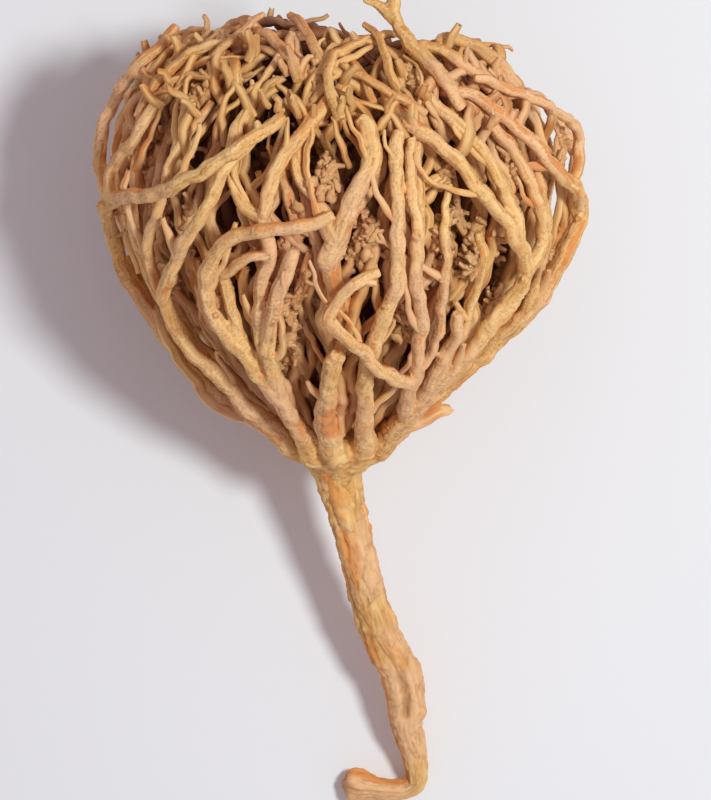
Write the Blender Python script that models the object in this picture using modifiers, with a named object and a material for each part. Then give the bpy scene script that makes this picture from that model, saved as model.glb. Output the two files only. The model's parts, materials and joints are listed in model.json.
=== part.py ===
"""Rose of Jericho (Anastatica hierochuntica): the dry plant, curled into a ball on its tap root.

The plant is designed upright, in millimetres: its crown at the origin, its axis up +Z, the side that
faces the viewer at -Y. It is then laid down on its back, so that +Y runs from the root to the top of the
ball and the floor is at the lowest ribs of the back. Every stem is a route over the ball's own skin.
A route point is (longitude in degrees, height in percent of the ball, depth in mm below the skin);
longitude 0 faces the viewer and +90 is to the right.
"""

import math

import bmesh
import bpy
import numpy as np
from mathutils import Matrix, Vector

MM = 0.001

# The ball
BALL_HEIGHT = 73.0
BALL_RADIUS = 37.4
BALL_FLATNESS = 0.9
BALL_LEAN = 1.4
LIE_ANGLE = 15.0

# The crown, where all the limbs meet, turned from (radius, height) pairs
CROWN_HEIGHT = 2.0
CROWN_RADIUS = 5.4
CROWN_PROFILE = [
    (0, 7.0), (2.6, 6.7), (4.7, 4.9), (5.4, 2.4), (5.0, 0.2), (4.0, -1.6), (3.3, -3.2), (0, -3.2),
]
SEAT_RADIUS = CROWN_RADIUS + 0.4
LIMB_SEAT_ANGLE = 12
INNER_SEAT_ANGLE = 55

# The tap root: (right, height) of its centre line and its radius there
ROOT_ROUTE = [
    (0.6, -4.2, 3.3), (0.9, -6.6, 3.15), (3.2, -14.0, 2.8), (5.0, -22.3, 2.9), (7.9, -30.6, 3.1),
    (10.1, -36.2, 3.2), (10.6, -41.8, 2.7), (11.5, -46.8, 2.4), (11.4, -50.6, 2.2), (9.6, -53.3, 2.1),
    (6.5, -54.3, 2.1), (2.6, -54.1, 2.15), (0.9, -53.8, 1.9),
]
ROOT_DROP = 3.6
ROOT_LENGTH = 54.0

# Stems
STEP = 1.5
GAP = 0.45
FLOOR = -19.6
# How far up the lying plant its stems may reach, as (right, reach) pairs; the tall twig is free
REACH = [
    (-36, 56.5), (-30, 63.3), (-24, 67.3), (-17, 68.0), (-1, 68.5), (2, 66.2), (12, 64.2), (22, 65.0),
    (26, 62.2), (28.5, 57.6), (33, 54.6), (37, 50.8),
]
THINNING = 0.2
BARK = {
    "limb": (0.66, 0.42, 0.21),
    "inner": (0.44, 0.24, 0.11),
    "twig": (0.60, 0.39, 0.20),
    "pod": (0.36, 0.22, 0.11),
    "root": (0.72, 0.50, 0.28),
}

CLOSING_TWIGS = 8
POD_RADIUS = 1.6
POD_PLACES = [
    (-52, 44, 10), (-16, 36, 13), (-14, 62, 13), (-50, 66, 11), (22, 58, 13), (36, 46, 11),
    (60, 58, 10), (8, 42, 14), (-24, 78, 11), (30, 78, 11), (72, 72, 9), (-76, 56, 9),
]


class Shoot:
    """One unforked stretch of a stem: points, radii, and the shoot and point that it grows from."""

    def __init__(self, points, radii, parent=None, start=0):
        self.points, self.radii = resampled(points, radii)
        self.parent = parent
        self.start = start


class Branch:
    """A stem with all its forks, which becomes one object."""

    def __init__(self, name, kind, seat=None):
        self.name = name
        self.kind = kind
        self.seat = seat
        self.shoots = []

    def grow(self, points, radii):
        self.shoots.append(Shoot(points, even(radii, len(points))))
        return len(self.shoots) - 1

    def stem(self, route, first, last):
        return self.grow([on_ball(*place) for place in route], (first, last))

    def fork(self, parent, share, route, first, last, place=None):
        """Grows a shoot from the given share of the parent's length."""
        trunk = self.shoots[parent]
        start = round(share * (len(trunk.points) - 1))
        points = [trunk.points[start]] + [(place or on_ball)(*stop) for stop in route]
        self.shoots.append(Shoot(points, even((first, last), len(points)), parent, start))
        return len(self.shoots) - 1


def even(radii, count):
    return np.linspace(radii[0], radii[1], count)


def skin_radius(share):
    """The ball's radius at a share of its height: narrow at the crown, widest above the middle."""
    share = min(max(share, 1e-4), 0.9999)
    return BALL_RADIUS * math.sin(math.pi * share**1.5) ** (0.45 - 0.12 * share)


def on_ball(longitude, height, depth):
    share = height / 100
    slope = (skin_radius(share + 1e-3) - skin_radius(share - 1e-3)) / 2e-3
    run = math.hypot(slope, BALL_HEIGHT)
    radius = skin_radius(share) - depth * BALL_HEIGHT / run
    rise = BALL_HEIGHT * share + depth * slope / run
    turn = math.radians(longitude)
    lean = BALL_LEAN * math.sin(math.pi / 2 * min(share, 1))
    return np.array([radius * math.sin(turn) + lean, -radius * math.cos(turn) * BALL_FLATNESS, rise])


def in_heart(longitude, height, share_out):
    """A place inside the ball, at a share of the way from its axis to its skin."""
    return on_ball(longitude, height, skin_radius(height / 100) * (1 - share_out))


def in_plant(longitude, radius, height):
    """A place by its distance from the plant's axis and its height, in mm."""
    turn = math.radians(longitude)
    return np.array([radius * math.sin(turn) + BALL_LEAN, -radius * math.cos(turn) * BALL_FLATNESS, height])


def resampled(route, radii):
    """A Catmull-Rom curve through the route, with a point every STEP."""
    route = np.asarray(route, float)
    ends = np.vstack([2 * route[0] - route[1], route, 2 * route[-1] - route[-2]])
    u = np.linspace(0, 1, 24, endpoint=False)[:, None]
    runs = []
    for a, b, c, d in zip(ends, ends[1:], ends[2:], ends[3:]):
        cubic = (3 * b - a - 3 * c + d) * u**3 + (2 * a - 5 * b + 4 * c - d) * u**2
        runs.append(0.5 * (cubic + (c - a) * u + 2 * b))
    curve = np.vstack(runs + [route[-1:]])
    along = np.append(0, np.cumsum(np.linalg.norm(np.diff(curve, axis=0), axis=1)))
    count = max(2, round(along[-1] / STEP) + 1)
    stops = np.linspace(0, along[-1], count)
    points = np.stack([np.interp(stops, along, curve[:, k]) for k in range(3)], 1)
    knots = np.interp(stops, along, np.linspace(0, len(radii) - 1, len(along)))
    return points, np.interp(knots, np.arange(len(radii)), radii)


def front_limbs():
    """The seven limbs of the side that shows, left to right."""
    left_edge = Branch("limb_left_edge", "limb", -98)
    main = left_edge.stem([
        (-98, 2, 1.4), (-90, 10, 0.8), (-88, 18, 0.0), (-87, 28, 0.4), (-86, 40, 0.5), (-85, 52, 0.7),
        (-76, 59, 0.8), (-60, 63, 0.6), (-42, 67, 0.8), (-27, 75, 1.2), (-16, 84, 2.5),
    ], 1.3, 0.95)
    left_edge.fork(main, 0.62, [(-74, 66, 1.2), (-64, 75, 1.0), (-60, 86, 0.8), (-58, 93, 0.5)], 1.05, 0.7)
    left_edge.fork(main, 0.60, [
        (-84, 66, 0.2), (-84, 76, -0.4), (-81, 84, -0.7), (-77, 90, -0.9), (-74, 93.4, -2.4),
    ], 1.1, 0.8)
    left_edge.fork(main, 0.30, [
        (-96, 36, 1.2), (-104, 50, 1.2), (-106, 64, 1.2), (-104, 76, 1.4), (-100, 88, 1.6), (-90, 96, 3),
    ], 1.15, 0.7)

    left = Branch("limb_left", "limb", -65.5)
    main = left.stem([
        (-64, 2, 1.4), (-57, 9, 1.3), (-53, 18, 1.2), (-55, 26, 1.1), (-60, 33, 1.1), (-56, 40, 1.1),
        (-50, 46, 1.1), (-42, 54, 1.2), (-36, 61, 1.3), (-32, 68, 1.5), (-28, 76, 2.2), (-20, 86, 5),
    ], 1.3, 0.9)
    left.fork(main, 0.40, [
        (-58, 47, 1.6), (-55, 54, 1.6), (-51, 62, 1.8), (-48, 70, 2.0), (-46, 78, 2.4), (-42, 86, 3),
    ], 1.0, 0.7)
    left.fork(main, 0.30, [
        (-74, 38, 3.5), (-72, 50, 3.5), (-68, 62, 3.5), (-68, 74, 3.5), (-66, 85, 3), (-50, 93, 4),
    ], 1.0, 0.7)

    left_front = Branch("limb_left_front", "limb", -33)
    main = left_front.stem([
        (-33, 2, 1.4), (-27, 10, 1.6), (-27, 20, 1.4), (-31, 29, 1.3), (-36, 38, 1.2), (-37, 46, 1.1),
        (-32, 53, 1.0), (-26, 59, 1.0), (-16, 60.5, 1.0), (-8, 62, 0.9), (-2, 64.5, 0.8),
    ], 1.35, 0.95)
    left_front.fork(main, 0.38, [(-33, 46, 3), (-29, 50, 2.4), (-25, 53, 2.2), (-19, 54, 2.4)], 0.95, 0.75)
    tall = left_front.fork(main, 0.24, [
        (-26, 28, 2.6), (-24, 37, 2.6), (-22, 46, 2.8), (-18, 54, 3.2), (-20, 61, 3.4), (-19, 65, 2.4),
        (-14, 77, 1.6), (-6, 85, 1.4), (2, 91, 1.5),
    ], 1.15, 0.95)
    left_front.fork(tall, 0.60, [(-25, 65, 3), (-29, 73, 2.4), (-30, 80, 2.4), (-28, 88, 3.5)], 1.0, 0.8)
    left_front.fork(main, 0.27, [(-22, 34, 1.6), (-18, 42, 1.5), (-15, 49, 1.6), (-12, 56, 2.4)], 1.25, 1.1)

    centre = Branch("limb_centre", "limb", 0)
    stub = centre.stem([(0, 2, 1.4), (-7, 8, 1.6), (-7, 15, 1.3), (-4, 24, 1.2), (-1, 33, 1.0)], 1.4, 1.35)
    column = centre.fork(stub, 0.30, [
        (-3, 22, 6.5), (-3, 34, 6.0), (-2, 45, 4.4), (-4, 54, 2.8), (-2, 61, 1.8), (1, 67, 1.6),
        (5, 73, 1.4), (6, 79, 1.4), (4, 84, 2),
    ], 1.45, 1.35)
    centre.fork(column, 0.60, [(4, 66, 5), (9, 72, 6), (10, 80, 6), (2, 88, 6)], 0.9, 0.6)
    centre.fork(column, 0.68, [(-8, 68, 3.6), (-12, 74, 3.2), (-12, 80, 3), (-4, 87, 2.6)], 1.0, 0.75)
    centre.fork(column, 0.28, [(-9, 36, 8), (-13, 44, 8), (-10, 53, 7), (-6, 60, 7)], 0.6, 0.45)

    right_front = Branch("limb_right_front", "limb", 33)
    main = right_front.stem([
        (33, 2, 1.4), (24, 7, 1.6), (15, 13, 1.5), (10, 22, 1.3), (9, 31, 1.4), (11, 39, 1.4),
        (13, 48, 1.2), (13, 58, 1.1), (12.5, 70, 1.1), (14, 81, 1.2),
    ], 1.3, 1.0)
    right_front.fork(main, 0.52, [(17, 52, 3), (19, 60, 3), (18, 70, 3), (19, 80, 3), (24, 88, 3)], 0.9, 0.7)

    right = Branch("limb_right", "limb", 65.5)
    main = right.stem([
        (62, 2, 1.4), (48, 8, 1.6), (43, 15, 1.5), (43, 22, 1.4), (45, 29, 1.2), (48, 37, 1.1),
        (51, 43, 1.0), (51, 50, 1.0), (43, 58, 1.0), (35, 66, 1.0), (28, 74, 1.0), (20, 82, 1.4),
        (12, 89, 2),
    ], 1.4, 1.0)
    right.fork(main, 0.62, [
        (45, 61, 2), (40, 68, 1.4), (35, 75, 1.2), (29, 82, 1.2), (20, 88, 1.5),
    ], 1.15, 0.9)
    right.fork(main, 0.54, [
        (57, 53, 1.4), (54, 61, 1.3), (49, 69, 1.5), (46, 77, 2), (42, 84, 3),
    ], 1.15, 0.9)
    right.fork(main, 0.24, [(41, 34, 3), (40, 42, 3.4), (39, 50, 3.4), (37, 57, 4)], 0.9, 0.7)
    right.fork(main, 0.20, [(37, 27, 1.8), (36, 34, 1.7), (34, 40, 2.2)], 1.25, 1.0)
    inner_side = right.fork(main, 0.16, [
        (32, 18, 1.4), (26, 27, 1.2), (22, 39, 1.2), (18, 50, 1.2), (17, 62, 1.3), (16, 71, 1.6),
        (17, 80, 2.6),
    ], 1.15, 0.85)
    right.fork(inner_side, 0.12, [
        (24, 25, 0.2), (18, 28, -0.2), (10, 32, -0.2), (3, 37, -0.1), (-3, 42.5, 0), (1, 48.5, 0.2),
        (9, 52, 1.2),
    ], 1.1, 0.9)
    right.fork(inner_side, 0.20, [
        (31, 31, 2.4), (28, 43, 2.4), (26, 53, 2.4), (25, 62, 2.6), (27, 70, 3.4),
    ], 0.8, 0.6)

    right_edge = Branch("limb_right_edge", "limb", 98)
    main = right_edge.stem([
        (94, 2, 1.6), (86, 9, 2.0), (82, 20, 2.5), (78, 29, 1.9), (76, 36, 1.2), (78, 44, 1.0),
        (84, 53, 0.9), (82, 58, 0.9), (68, 64, 0.8), (56, 71, 0.6), (49, 77, 0.8), (44, 82, 1),
        (37, 86, 1), (28, 88, 1.2),
    ], 1.35, 0.95)
    right_edge.fork(main, 0.56, [
        (76, 63, 2.2), (84, 68, 1.4), (84, 73, 1.2), (76, 78, 1.0), (63, 82, 0.8), (52, 86, 0.6),
        (40, 89, 0.8),
    ], 0.95, 0.75)
    right_edge.fork(main, 0.36, [
        (72, 44, 3), (66, 52, 3), (61, 60, 3), (58, 68, 3.2), (56, 76, 3.4),
    ], 0.7, 0.5)
    right_edge.fork(main, 0.30, [
        (92, 42, 1.8), (97, 54, 1.8), (98, 66, 2.0), (96, 77, 3.4), (86, 86, 4.6), (68, 92, 4.4),
    ], 1.1, 0.75)
    return [left_edge, left, left_front, centre, right_front, right, right_edge]


def back_limbs():
    """Four limbs of the side that lies on the floor, each forking twice as it climbs."""
    chance = np.random.default_rng(11)
    limbs = []
    for number, side in enumerate((131, 164, -164, -131), 1):
        limb = Branch(f"limb_back_{number}", "limb", side)

        def near(offset=0.0, spread=3.0):
            return side + offset + float(chance.uniform(-spread, spread))

        main = limb.stem([
            (side, 2, 1.4), (near(), 10, 1.4), (near(), 22, 1.3), (near(), 34, 1.2), (near(-9), 46, 1.1),
            (near(-11), 58, 1.1), (near(-9), 70, 1.1), (near(-10, 4), 82, 1.3), (near(-8, 6), 91, 2),
            (near(-4, 12), 96, 5),
        ], 1.35, 0.8)
        second = limb.fork(main, 0.36, [
            (near(7), 46, 1.1), (near(10), 58, 1.1), (near(6), 70, 1.2), (near(7, 4), 82, 1.4),
            (near(8, 8), 92, 2.4), (near(14, 12), 97, 6),
        ], 1.15, 0.75)
        limb.fork(main, 0.56, [
            (near(-3, 2), 64, 1.6), (near(-1), 76, 1.8), (near(2, 6), 88, 2.4),
        ], 0.9, 0.7)
        limb.fork(second, 0.45, [
            (near(15, 2), 72, 1.6), (near(16), 83, 1.8), (near(14, 8), 92, 3),
        ], 0.85, 0.6)
        limb.fork(main, 0.26, [
            (near(), 44, 4), (near(3), 56, 4.4), (near(0, 6), 68, 4.4), (near(0, 6), 80, 4.6),
        ], 0.9, 0.6)
        limbs.append(limb)
    return limbs


def inner_limbs():
    """Seven limbs inside the outer ones, which curl inwards at the top, and one at the heart."""
    chance = np.random.default_rng(7)
    limbs = []
    for number, side in enumerate((-26, 26, 77, 129, 180, -129, -77), 1):
        limb = Branch(f"inner_limb_{number}", "inner", side)

        def near(offset=0.0, spread=5.0):
            return side + offset + float(chance.uniform(-spread, spread))

        limb.grow([in_heart(*place) for place in (
            (side, 7.5, 0.30), (near(), 16, 0.50), (near(), 28, 0.70), (near(-6), 42, 0.80),
            (near(-10), 56, 0.83), (near(-9), 70, 0.84), (near(-6), 82, 0.84), (near(0, 12), 91, 0.72),
            (near(0, 20), 96, 0.42),
        )], (1.15, 0.75))
        second = limb.fork(0, 0.30, [
            (near(9), 44, 0.76), (near(14), 58, 0.83), (near(12), 72, 0.84), (near(10, 8), 84, 0.80),
            (near(8, 16), 93, 0.62),
        ], 1.0, 0.65, in_heart)
        limb.fork(0, 0.45, [
            (near(-2), 60, 0.70), (near(), 72, 0.66), (near(0, 15), 84, 0.56), (near(0, 30), 93, 0.32),
        ], 0.85, 0.6, in_heart)
        limb.fork(second, 0.40, [
            (near(22), 66, 0.78), (near(20), 78, 0.76), (near(16, 12), 89, 0.60),
        ], 0.8, 0.55, in_heart)
        limbs.append(limb)

    core = Branch("inner_limb_core", "inner", 0)
    core.grow([in_heart(*place) for place in (
        (0, 9, 0.02), (20, 22, 0.04), (60, 38, 0.08), (150, 55, 0.05), (-30, 72, 0.10), (-90, 86, 0.16),
    )], (1.1, 0.8))
    for share, side in ((0.30, 60), (0.38, 220), (0.46, 140), (0.54, -50)):
        core.fork(0, share, [
            (side, 52, 0.16), (side + 15, 66, 0.26), (side + 10, 80, 0.34), (side - 10, 90, 0.42),
        ], 0.8, 0.55, in_heart)
    return limbs + [core]


def top_twigs():
    """Short twigs that cross over the top of the ball, and the long broken one that stands out of it."""
    tall = Branch("top_twig_tall", "twig")
    main = tall.stem([
        (32, 84, 1.2), (29, 88.5, 0.4), (25, 92.5, -0.4), (21, 95.5, -1.4), (19, 96.8, -3.4),
        (19, 97.4, -6.2), (14, 97.6, -8.6),
    ], 1.1, 0.9)
    tall.fork(main, 0.66, [(13, 97.2, -4.0), (7, 97.4, -4.6)], 0.7, 0.5)
    routes = [
        ([(50, 86, 2.2), (43, 90.5, 1.0), (35, 94, 0.2), (28, 95, -0.2), (26, 93, 0.4), (28, 90, 1.4)],
         0.9, 0.7),
        ([(58, 86, 1.6), (56, 90.5, 0.6), (50, 94, -0.4), (43, 96, -0.8), (39, 95, 0.4)], 1.2, 0.8),
        ([(-48, 92, 0.6), (-42, 95.5, -0.4), (-37, 97.4, -1.8)], 0.7, 0.5),
        ([(-14, 90, 1.2), (-20, 93.6, 0.2), (-34, 96, -0.4), (-52, 97, -0.6)], 0.9, 0.7),
        ([(-3, 91, 1.8), (-9, 94.4, 0.6), (-17, 97, -0.2), (-34, 98.8, -0.4)], 0.9, 0.7),
        ([(-1, 83, 1.0), (-5, 89, 0.6), (-3, 93.4, 0.2), (8, 96.4, 0.0), (30, 98, 0.4)], 0.9, 0.6),
        ([(8, 86, 1.2), (5, 90.6, 1.4), (1, 94.8, 2.2), (-4, 97.8, 2.6)], 0.7, 0.5),
        ([(18, 86.5, 1.6), (15, 91, 0.6), (13, 95, -1.2), (8, 97.8, -2.2)], 0.8, 0.6),
        ([(22, 84.5, 2.4), (14, 86.6, 1.0), (6, 89.2, 0.4), (-2, 92, 0.4)], 0.8, 0.6),
        ([(-33, 88, 1.4), (-37, 91.6, 0.8), (-50, 94.0, 2.2), (-70, 94.8, 2.4)], 0.9, 0.6),
        ([(-66, 79, 1.4), (-63, 86, 0.6), (-56, 91.6, 0.2), (-42, 94.8, 0.2)], 0.9, 0.7),
    ]
    twigs = [tall]
    for number, (route, first, last) in enumerate(routes, 1):
        twig = Branch(f"top_twig_{number}", "twig")
        twig.stem(route, first, last)
        twigs.append(twig)
    return twigs


def closing_twigs():
    """Curls that rise from the sides and back and wind in over the mouth of the ball."""
    chance = np.random.default_rng(3)
    twigs = []
    for number in range(CLOSING_TWIGS):
        side = 70 + 250 * number / CLOSING_TWIGS + float(chance.uniform(-8, 8))
        wide = float(chance.uniform(0.9, 1.1))
        low = float(chance.uniform(-3.0, 0.5))
        twig = Branch(f"closing_twig_{number + 1}", "twig")
        twig.grow([in_plant(side + turn, radius * wide, height + low) for turn, radius, height in (
            (0, 27, 58), (4, 25.5, 64), (12, 20.5, 69), (28, 14.5, 71), (56, 9, 70.5), (105, 6.5, 66.5),
        )], (0.95, 0.6))
        if number % 2:
            twig.fork(0, 0.4, [(side + 2, 21, 71 + low), (side - 6, 15, 71.5 + low)], 0.75, 0.55, in_plant)
        twigs.append(twig)
    return twigs


def seed_pods():
    """Dry pods, each a short fat shoot, sitting on the branches inside the ball."""
    pods = []
    for number, (longitude, height, depth) in enumerate(POD_PLACES, 1):
        pod = Branch(f"seed_pod_{number}", "pod")
        middle = on_ball(longitude, height, depth)
        along = np.array([0.0, 0.0, 0.5])
        pod.grow([middle - along, middle + along], (POD_RADIUS, POD_RADIUS))
        pods.append(pod)
    return pods


def seat_on_crown(branch):
    """Brings a limb's first points straight out of the crown."""
    lift = LIMB_SEAT_ANGLE if branch.kind == "limb" else INNER_SEAT_ANGLE
    if branch.name == "inner_limb_core":
        lift = 90
    turn, lift = math.radians(branch.seat), math.radians(lift)
    out = np.array([math.sin(turn) * math.cos(lift), -math.cos(turn) * math.cos(lift), math.sin(lift)])
    points = branch.shoots[0].points
    for k in range(6):
        straight = np.array([0, 0, CROWN_HEIGHT]) + (SEAT_RADIUS + STEP * k) * out
        ease = 1.0 if k < 2 else (1 - (k - 1) / 5) ** 2
        points[k] = ease * straight + (1 - ease) * points[k]


def settle(branches, rounds=24, passes=6):
    """Pushes stems of different branches apart until GAP is free between them, off the floor and into REACH.

    The push is smoothed along each stem, forks stay joined, and the seats on the crown don't move.
    """
    points, radii, owner, loose, held, chains = [], [], [], [], [], []
    for number, branch in enumerate(branches):
        kept = []
        for shoot in branch.shoots:
            chain = []
            for k, point in enumerate(shoot.points):
                if shoot.parent is not None and k == 0:
                    chain.append(kept[shoot.parent][shoot.start])
                    continue
                chain.append(len(points))
                points.append(point)
                radii.append(shoot.radii[k])
                owner.append(number)
                loose.append(0.0 if branch.seat is not None and shoot.parent is None and k < 2 else 1.0)
                held.append(branch.name != "top_twig_tall")
            kept.append(chain)
        chains.append(kept)
    points, radii, owner, loose, held = (np.array(values) for values in (points, radii, owner, loose, held))
    rest = points.copy()
    shoots = [chain for kept in chains for chain in kept]
    middle = np.array([k for chain in shoots for k in chain[1:-1]])
    before = np.array([k for chain in shoots for k in chain[:-2]])
    after = np.array([k for chain in shoots for k in chain[2:]])
    tips = np.array([chain[-1] for chain in shoots])
    next_to_tips = np.array([chain[-2] for chain in shoots])
    down_y, down_z = math.cos(math.radians(LIE_ANGLE)), math.sin(math.radians(LIE_ANGLE))
    for _ in range(rounds):
        span = ((points[:, None] - points[None]) ** 2).sum(-1)
        reach = (radii[:, None] + radii[None] + GAP + 1.0) ** 2
        first, second = np.nonzero((span < reach) & (owner[:, None] < owner[None]))
        weight = loose[first] + loose[second] + 1e-9
        for _ in range(passes):
            line = points[second] - points[first]
            length = np.linalg.norm(line, axis=1) + 1e-9
            lack = np.maximum(radii[first] + radii[second] + GAP - length, 0)
            push = (lack / length / weight)[:, None] * line
            move, hits = np.zeros_like(points), np.zeros(len(points))
            np.add.at(move, first, -push * loose[first][:, None])
            np.add.at(move, second, push * loose[second][:, None])
            np.add.at(hits, first, lack > 0)
            np.add.at(hits, second, lack > 0)
            points = points + 1.2 * move / np.maximum(hits, 1)[:, None]
            floor_gap = -down_y * points[:, 1] + down_z * points[:, 2] - FLOOR - radii
            rise = np.maximum(-floor_gap, 0) * loose
            points[:, 1] -= rise * down_y
            points[:, 2] += rise * down_z
            reached = down_z * points[:, 1] + down_y * points[:, 2] + radii
            drop = np.maximum(reached - np.interp(points[:, 0], *zip(*REACH)), 0) * loose * held
            points[:, 1] -= drop * down_z
            points[:, 2] -= drop * down_y
            moved = points - rest
            smoothed = moved.copy()
            smoothed[middle] += 0.35 * ((moved[before] + moved[after]) / 2 - moved[middle])
            smoothed[tips] += 0.35 * (moved[next_to_tips] - moved[tips])
            points = rest + smoothed * loose[:, None]
    for branch, kept in zip(branches, chains):
        for shoot, chain in zip(branch.shoots, kept):
            shoot.points = points[chain]


def thinned(points, radii):
    """Drops the points of a stem that lie within THINNING of a straight run."""
    keep = [0]
    while keep[-1] < len(points) - 1:
        start = keep[-1]
        end = start + 1
        while end + 1 < len(points):
            chord = points[end + 1] - points[start]
            between = points[start + 1 : end + 1] - points[start]
            share = np.clip(between @ chord / (chord @ chord), 0, 1)
            if np.linalg.norm(between - share[:, None] * chord, axis=1).max() > THINNING:
                break
            end += 1
        keep.append(end)
    return points[keep], radii[keep]


def bark(kind):
    """The dry wood of one kind of piece."""
    material = bpy.data.materials.get("dry_" + kind) or bpy.data.materials.new("dry_" + kind)
    material.use_nodes = True
    shader = material.node_tree.nodes["Principled BSDF"]
    shader.inputs["Base Color"].default_value = (*BARK[kind], 1)
    shader.inputs["Roughness"].default_value = 0.75
    shader.inputs["Metallic"].default_value = 0.0
    material.diffuse_color = (*BARK[kind], 1)
    return material


def laid_down():
    """The turn from upright to lying, about the crown."""
    return Matrix.Rotation(math.radians(LIE_ANGLE - 90), 4, "X")


def add_object(name, mesh, collection):
    part = bpy.data.objects.new(name, mesh)
    collection.objects.link(part)
    return part


def tube(name, points, radii, collection, sides=6):
    """A closed six-sided tube along the points, as a mesh object."""
    curve = bpy.data.curves.new(name, "CURVE")
    curve.dimensions = "3D"
    curve.bevel_depth = 1.0
    curve.bevel_resolution = sides // 2 - 2
    curve.use_fill_caps = True
    curve.twist_mode = "MINIMUM"
    line = curve.splines.new("POLY")
    line.points.add(len(points) - 1)
    for spot, point, radius in zip(line.points, points, radii):
        spot.co = (*point, 1)
        spot.radius = radius
    guide = add_object(name + "_line", curve, collection)
    bpy.context.view_layer.update()
    graph = bpy.context.evaluated_depsgraph_get()
    mesh = bpy.data.meshes.new_from_object(guide.evaluated_get(graph))
    form = bmesh.new()
    form.from_mesh(mesh)
    bmesh.ops.remove_doubles(form, verts=form.verts, dist=0.001)
    bmesh.ops.recalc_face_normals(form, faces=form.faces)
    form.to_mesh(mesh)
    form.free()
    bpy.data.objects.remove(guide)
    bpy.data.curves.remove(curve)
    return add_object(name, mesh, collection)


def united(pieces, name, collection):
    """One solid of the tubes of a stem and its forks."""
    body = pieces[0]
    body.name = name
    for piece in pieces[1:]:
        join = body.modifiers.new("join_" + piece.name, "BOOLEAN")
        join.operation = "UNION"
        join.solver = "EXACT"
        join.object = piece
    bpy.context.view_layer.update()
    graph = bpy.context.evaluated_depsgraph_get()
    mesh = bpy.data.meshes.new_from_object(body.evaluated_get(graph))
    for piece in pieces:
        bpy.data.objects.remove(piece)
    return add_object(name, mesh, collection)


def stem_object(branch, collection):
    tubes = []
    for number, shoot in enumerate(branch.shoots):
        points, radii = thinned(shoot.points, shoot.radii)
        tubes.append(tube(f"{branch.name}_{number}", points, radii, collection))
    return united(tubes, branch.name, collection)


def pod_object(branch, collection):
    """A pod is a ball of POD_RADIUS drawn out a little along its own line."""
    low, high = branch.shoots[0].points[0], branch.shoots[0].points[-1]
    form = bmesh.new()
    bmesh.ops.create_uvsphere(form, u_segments=10, v_segments=6, radius=POD_RADIUS)
    stretch = Matrix.Scale(1 + np.linalg.norm(high - low) / 2 / POD_RADIUS, 4, (0, 0, 1))
    turn = Vector(high - low).to_track_quat("Z", "Y").to_matrix().to_4x4()
    bmesh.ops.transform(form, matrix=Matrix.Translation((low + high) / 2) @ turn @ stretch, verts=form.verts)
    mesh = bpy.data.meshes.new(branch.name)
    form.to_mesh(mesh)
    form.free()
    return add_object(branch.name, mesh, collection)


def crown_object(collection):
    """The knuckle between root and limbs, turned about the plant's axis."""
    mesh = bpy.data.meshes.new("crown")
    outline = [(x, 0, z) for x, z in CROWN_PROFILE]
    mesh.from_pydata(outline, [(k, k + 1) for k in range(len(outline) - 1)], [])
    crown = add_object("crown", mesh, collection)
    turned = crown.modifiers.new("turned", "SCREW")
    turned.steps = turned.render_steps = 20
    turned.use_merge_vertices = True
    turned.merge_threshold = 0.0001
    return united([crown], "crown", collection)


def root_object(collection):
    """The tap root, which sags backwards to the floor and ends in a crook."""
    places = [(x, ROOT_DROP * (z / ROOT_LENGTH) ** 2, z) for x, z, _ in ROOT_ROUTE]
    points, radii = resampled(places, [radius for _, _, radius in ROOT_ROUTE])
    points, radii = thinned(points, radii)
    return tube("tap_root", points, radii, collection, sides=10)


def finish(part, kind, place):
    """Scales a piece from millimetres, lays it down and gives it its wood."""
    part.data.transform(Matrix.Scale(MM, 4))
    part.matrix_world = place
    part.data.materials.clear()
    part.data.materials.append(bark(kind))
    part.data.shade_smooth()
    part.data.set_sharp_from_angle(angle=math.radians(50))


def grown():
    """All the branches in their settled places."""
    branches = front_limbs() + back_limbs() + inner_limbs()
    for branch in branches:
        seat_on_crown(branch)
    branches += top_twigs() + closing_twigs() + seed_pods()
    settle(branches)
    return branches


def main():
    for old in list(bpy.data.objects):
        bpy.data.objects.remove(old)
    plant = bpy.data.collections.new("rose_of_jericho")
    bpy.context.scene.collection.children.link(plant)

    parts = [(crown_object(plant), "root"), (root_object(plant), "root")]
    for branch in grown():
        make = pod_object if branch.kind == "pod" else stem_object
        parts.append((make(branch, plant), branch.kind))

    turn = laid_down()
    corners = []
    for part, _ in parts:
        corners += [turn @ vertex.co * MM for vertex in part.data.vertices]
    low = Vector(min(corner[k] for corner in corners) for k in range(3))
    high = Vector(max(corner[k] for corner in corners) for k in range(3))
    middle = (low + high) / 2
    place = Matrix.Translation((-middle.x, -middle.y, -low.z)) @ turn
    for part, kind in parts:
        finish(part, kind, place)


if __name__ == "__main__":
    main()
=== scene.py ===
"""A dry rose of Jericho, closed into a ball and lying on its back on a pale floor.

The plant is grown here in millimetres, upright, by the same rules as its solid model: every stem is a
route over the ball's own skin, and a settling pass pushes neighbours apart. Each branch is then laid
down on the solid that it stands for and given its bark, its forks, its broken tips and its knots.
A route point is (longitude in degrees, height in percent of the ball, depth in mm below the skin);
longitude 0 faces the viewer and +90 is to the right.
"""

import json
import logging
import math
from collections.abc import Callable, Iterator, Sequence
from dataclasses import dataclass, field
from enum import Enum

import bmesh
import bpy
import numpy as np
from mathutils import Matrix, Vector, noise
from mathutils.kdtree import KDTree

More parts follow.
